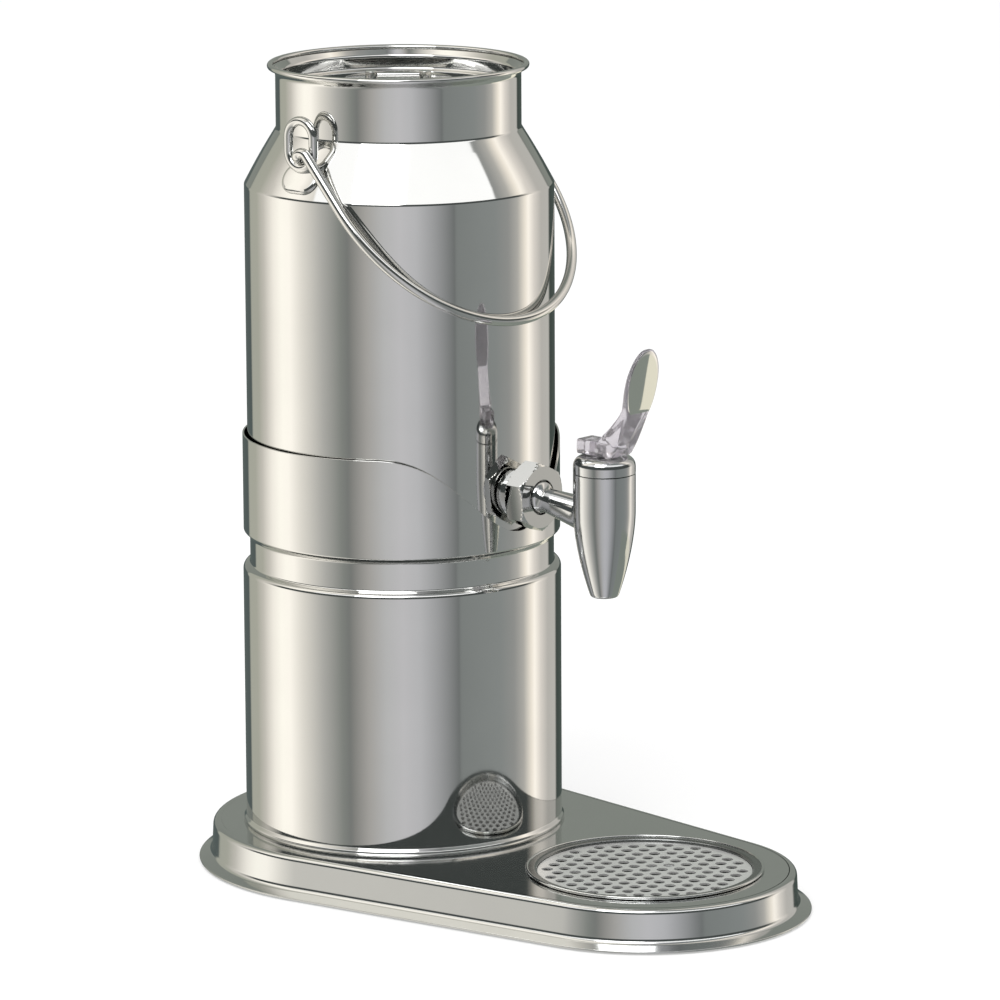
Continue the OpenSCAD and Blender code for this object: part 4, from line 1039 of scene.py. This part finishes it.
# how far past the box's straight part a ray is, along it and across it, as a share of its rounded corner
past = []
for at, middle, half, corner in (
    (compass, box_turn, box_reach, box_end),
    (level, 1.0, box_half_h, box_corner),
):
    at = add(tree, "ShaderNodeMath", {0: at, 1: middle}, operation="SUBTRACT")
    at = add(tree, "ShaderNodeMath", {0: at.outputs[0]}, operation="ABSOLUTE")
    at = add(tree, "ShaderNodeMath", {0: at.outputs[0], 1: half}, operation="SUBTRACT", use_clamp=True)
    past.append(add(tree, "ShaderNodeMath", {0: at.outputs[0], 1: corner}, operation="DIVIDE").outputs[0])
far = add(tree, "ShaderNodeCombineXYZ", {0: past[0], 1: past[1]})
far = add(tree, "ShaderNodeVectorMath", {0: far.outputs[0]}, operation="LENGTH")
aside = add(tree, "ShaderNodeMath", {0: compass}, operation="ABSOLUTE").outputs[0]
before = {"To Min": 1.0, "To Max": 0.0}
beyond = {"To Min": 0.0, "To Max": 1.0}


def painted(under, over, *edges):
    """One tone painted over another inside some edges. An edge is what it is measured by, where its soft
    border starts, where that ends, and whether the paint lies before it or beyond it. The paint's share is
    the product of its shares at all the edges."""
    inside = None
    for value, start, end, side in edges:
        edge = {"Value": value, "From Min": start, "From Max": end} | side
        edge = add(tree, "ShaderNodeMapRange", edge).outputs[0]
        if inside is None:
            inside = edge
        else:
            inside = add(tree, "ShaderNodeMath", {0: inside, 1: edge}, operation="MULTIPLY").outputs[0]
    return add(tree, "ShaderNodeMix", {0: inside, 6: under, 7: over}, data_type="RGBA").outputs[2]


# the wall far behind the object is paler over the horizon than under it: from 146 degrees round to the back
tone = ramp.outputs[0]
tone = painted(tone, linear("#7b7f79"), (aside, 2.55, 2.6, beyond), (rise, 0.0, 0.03, beyond))
# the camera's side of the studio is dim from the horizon up to the soft box
dim_edges = (aside, 1.75, 2.1, before), (level, 0.83, 0.87, before), (rise, 0.05, 0.1, beyond)
tone = painted(tone, linear("#434746"), *dim_edges)
# what lies low on the right, and only faces that look down see: a grey floor, then the edge of a cream sheet
cream_edges = (compass, 1.8, 1.805, beyond), (rise, -0.434, -0.431, beyond)
low_right = painted(linear("#80867f"), linear("#dedac8"), *cream_edges)
tone = painted(tone, low_right, (rise, -0.36, -0.34, before), (compass, 1.2, 1.22, beyond))
tone = painted(tone, white, (far.outputs["Value"], 0.92, 1.06, before))
mirrored_studio = add(tree, "ShaderNodeBackground", {"Color": tone, "Strength": 1.42})
plain = add(tree, "ShaderNodeBackground", {"Color": white, "Strength": 1.0})
rays = add(tree, "ShaderNodeLightPath").outputs
# a ray that has met a mirror before or after the clear plastic sees the studio, as the mirror does
straight = {0: rays["Is Transmission Ray"], 1: rays["Glossy Depth"]}
straight = add(tree, "ShaderNodeMath", straight, operation="SUBTRACT", use_clamp=True)
clear = add(tree, "ShaderNodeMath", {0: rays["Is Camera Ray"], 1: straight.outputs[0]}, operation="MAXIMUM")
others = {0: rays["Is Glossy Ray"], 1: plain.outputs[0], 2: mirrored_studio.outputs[0]}
others = add(tree, "ShaderNodeMixShader", others)
surround = {0: clear.outputs[0], 1: others.outputs[0], 2: plain.outputs[0]}
surround = add(tree, "ShaderNodeMixShader", surround)
add(tree, "ShaderNodeOutputWorld", {"Surface": surround.outputs[0]})

key = bpy.data.lights.new("key_soft_box", "AREA")
key.shape = "RECTANGLE"
key.size = 1.6
key.size_y = 1.6
key.energy = 26.0
key_lamp = bpy.data.objects.new("key_soft_box", key)
bpy.context.scene.collection.objects.link(key_lamp)
key_lamp.location = (-1.6, -0.7, 2.4)
key_lamp.rotation_euler = (Vector((0, -0.05, 0.2)) - key_lamp.location).to_track_quat("-Z", "Y").to_euler()

# Camera: a long lens low over the table, to the left of the tap. It was set by matching the photograph's
# outlines.
eye = np.array([-2353.7, -2133.2, 866.7])
azimuth = math.radians(-47.813)
height = math.radians(11.508)
roll = math.radians(-0.477)
# in pixels: the focal length, half the picture's side, and the place in it that the line of sight was set to
focal = 6042
half_side = 500
axis_x = 401.4
axis_y = 457.7
flat = math.cos(height)
away = np.array([math.sin(azimuth) * flat, -math.cos(azimuth) * flat, math.sin(height)])
right = np.array([math.cos(azimuth), math.sin(azimuth), 0.0])
up = np.cross(away, right)
right, up = right * math.cos(roll) + up * math.sin(roll), -right * math.sin(roll) + up * math.cos(roll)
look = -away + right * (half_side - axis_x) / focal - up * (half_side - axis_y) / focal
look /= np.linalg.norm(look)
right -= look * (right @ look)
right /= np.linalg.norm(right)
up = np.cross(right, look)
lens = bpy.data.cameras.new("camera")
lens.sensor_width = 36.0
lens.lens = lens.sensor_width * focal / (2 * half_side)
lens.clip_start = 0.1
lens.clip_end = 30.0
camera = bpy.data.objects.new("camera", lens)
bpy.context.scene.collection.objects.link(camera)
turn = np.eye(4)
turn[:3, 0], turn[:3, 1], turn[:3, 2], turn[:3, 3] = right, up, -look, eye * 0.001
camera.matrix_world = Matrix(turn.tolist())
bpy.context.scene.camera = camera
bpy.context.scene.view_settings.view_transform = "Standard"
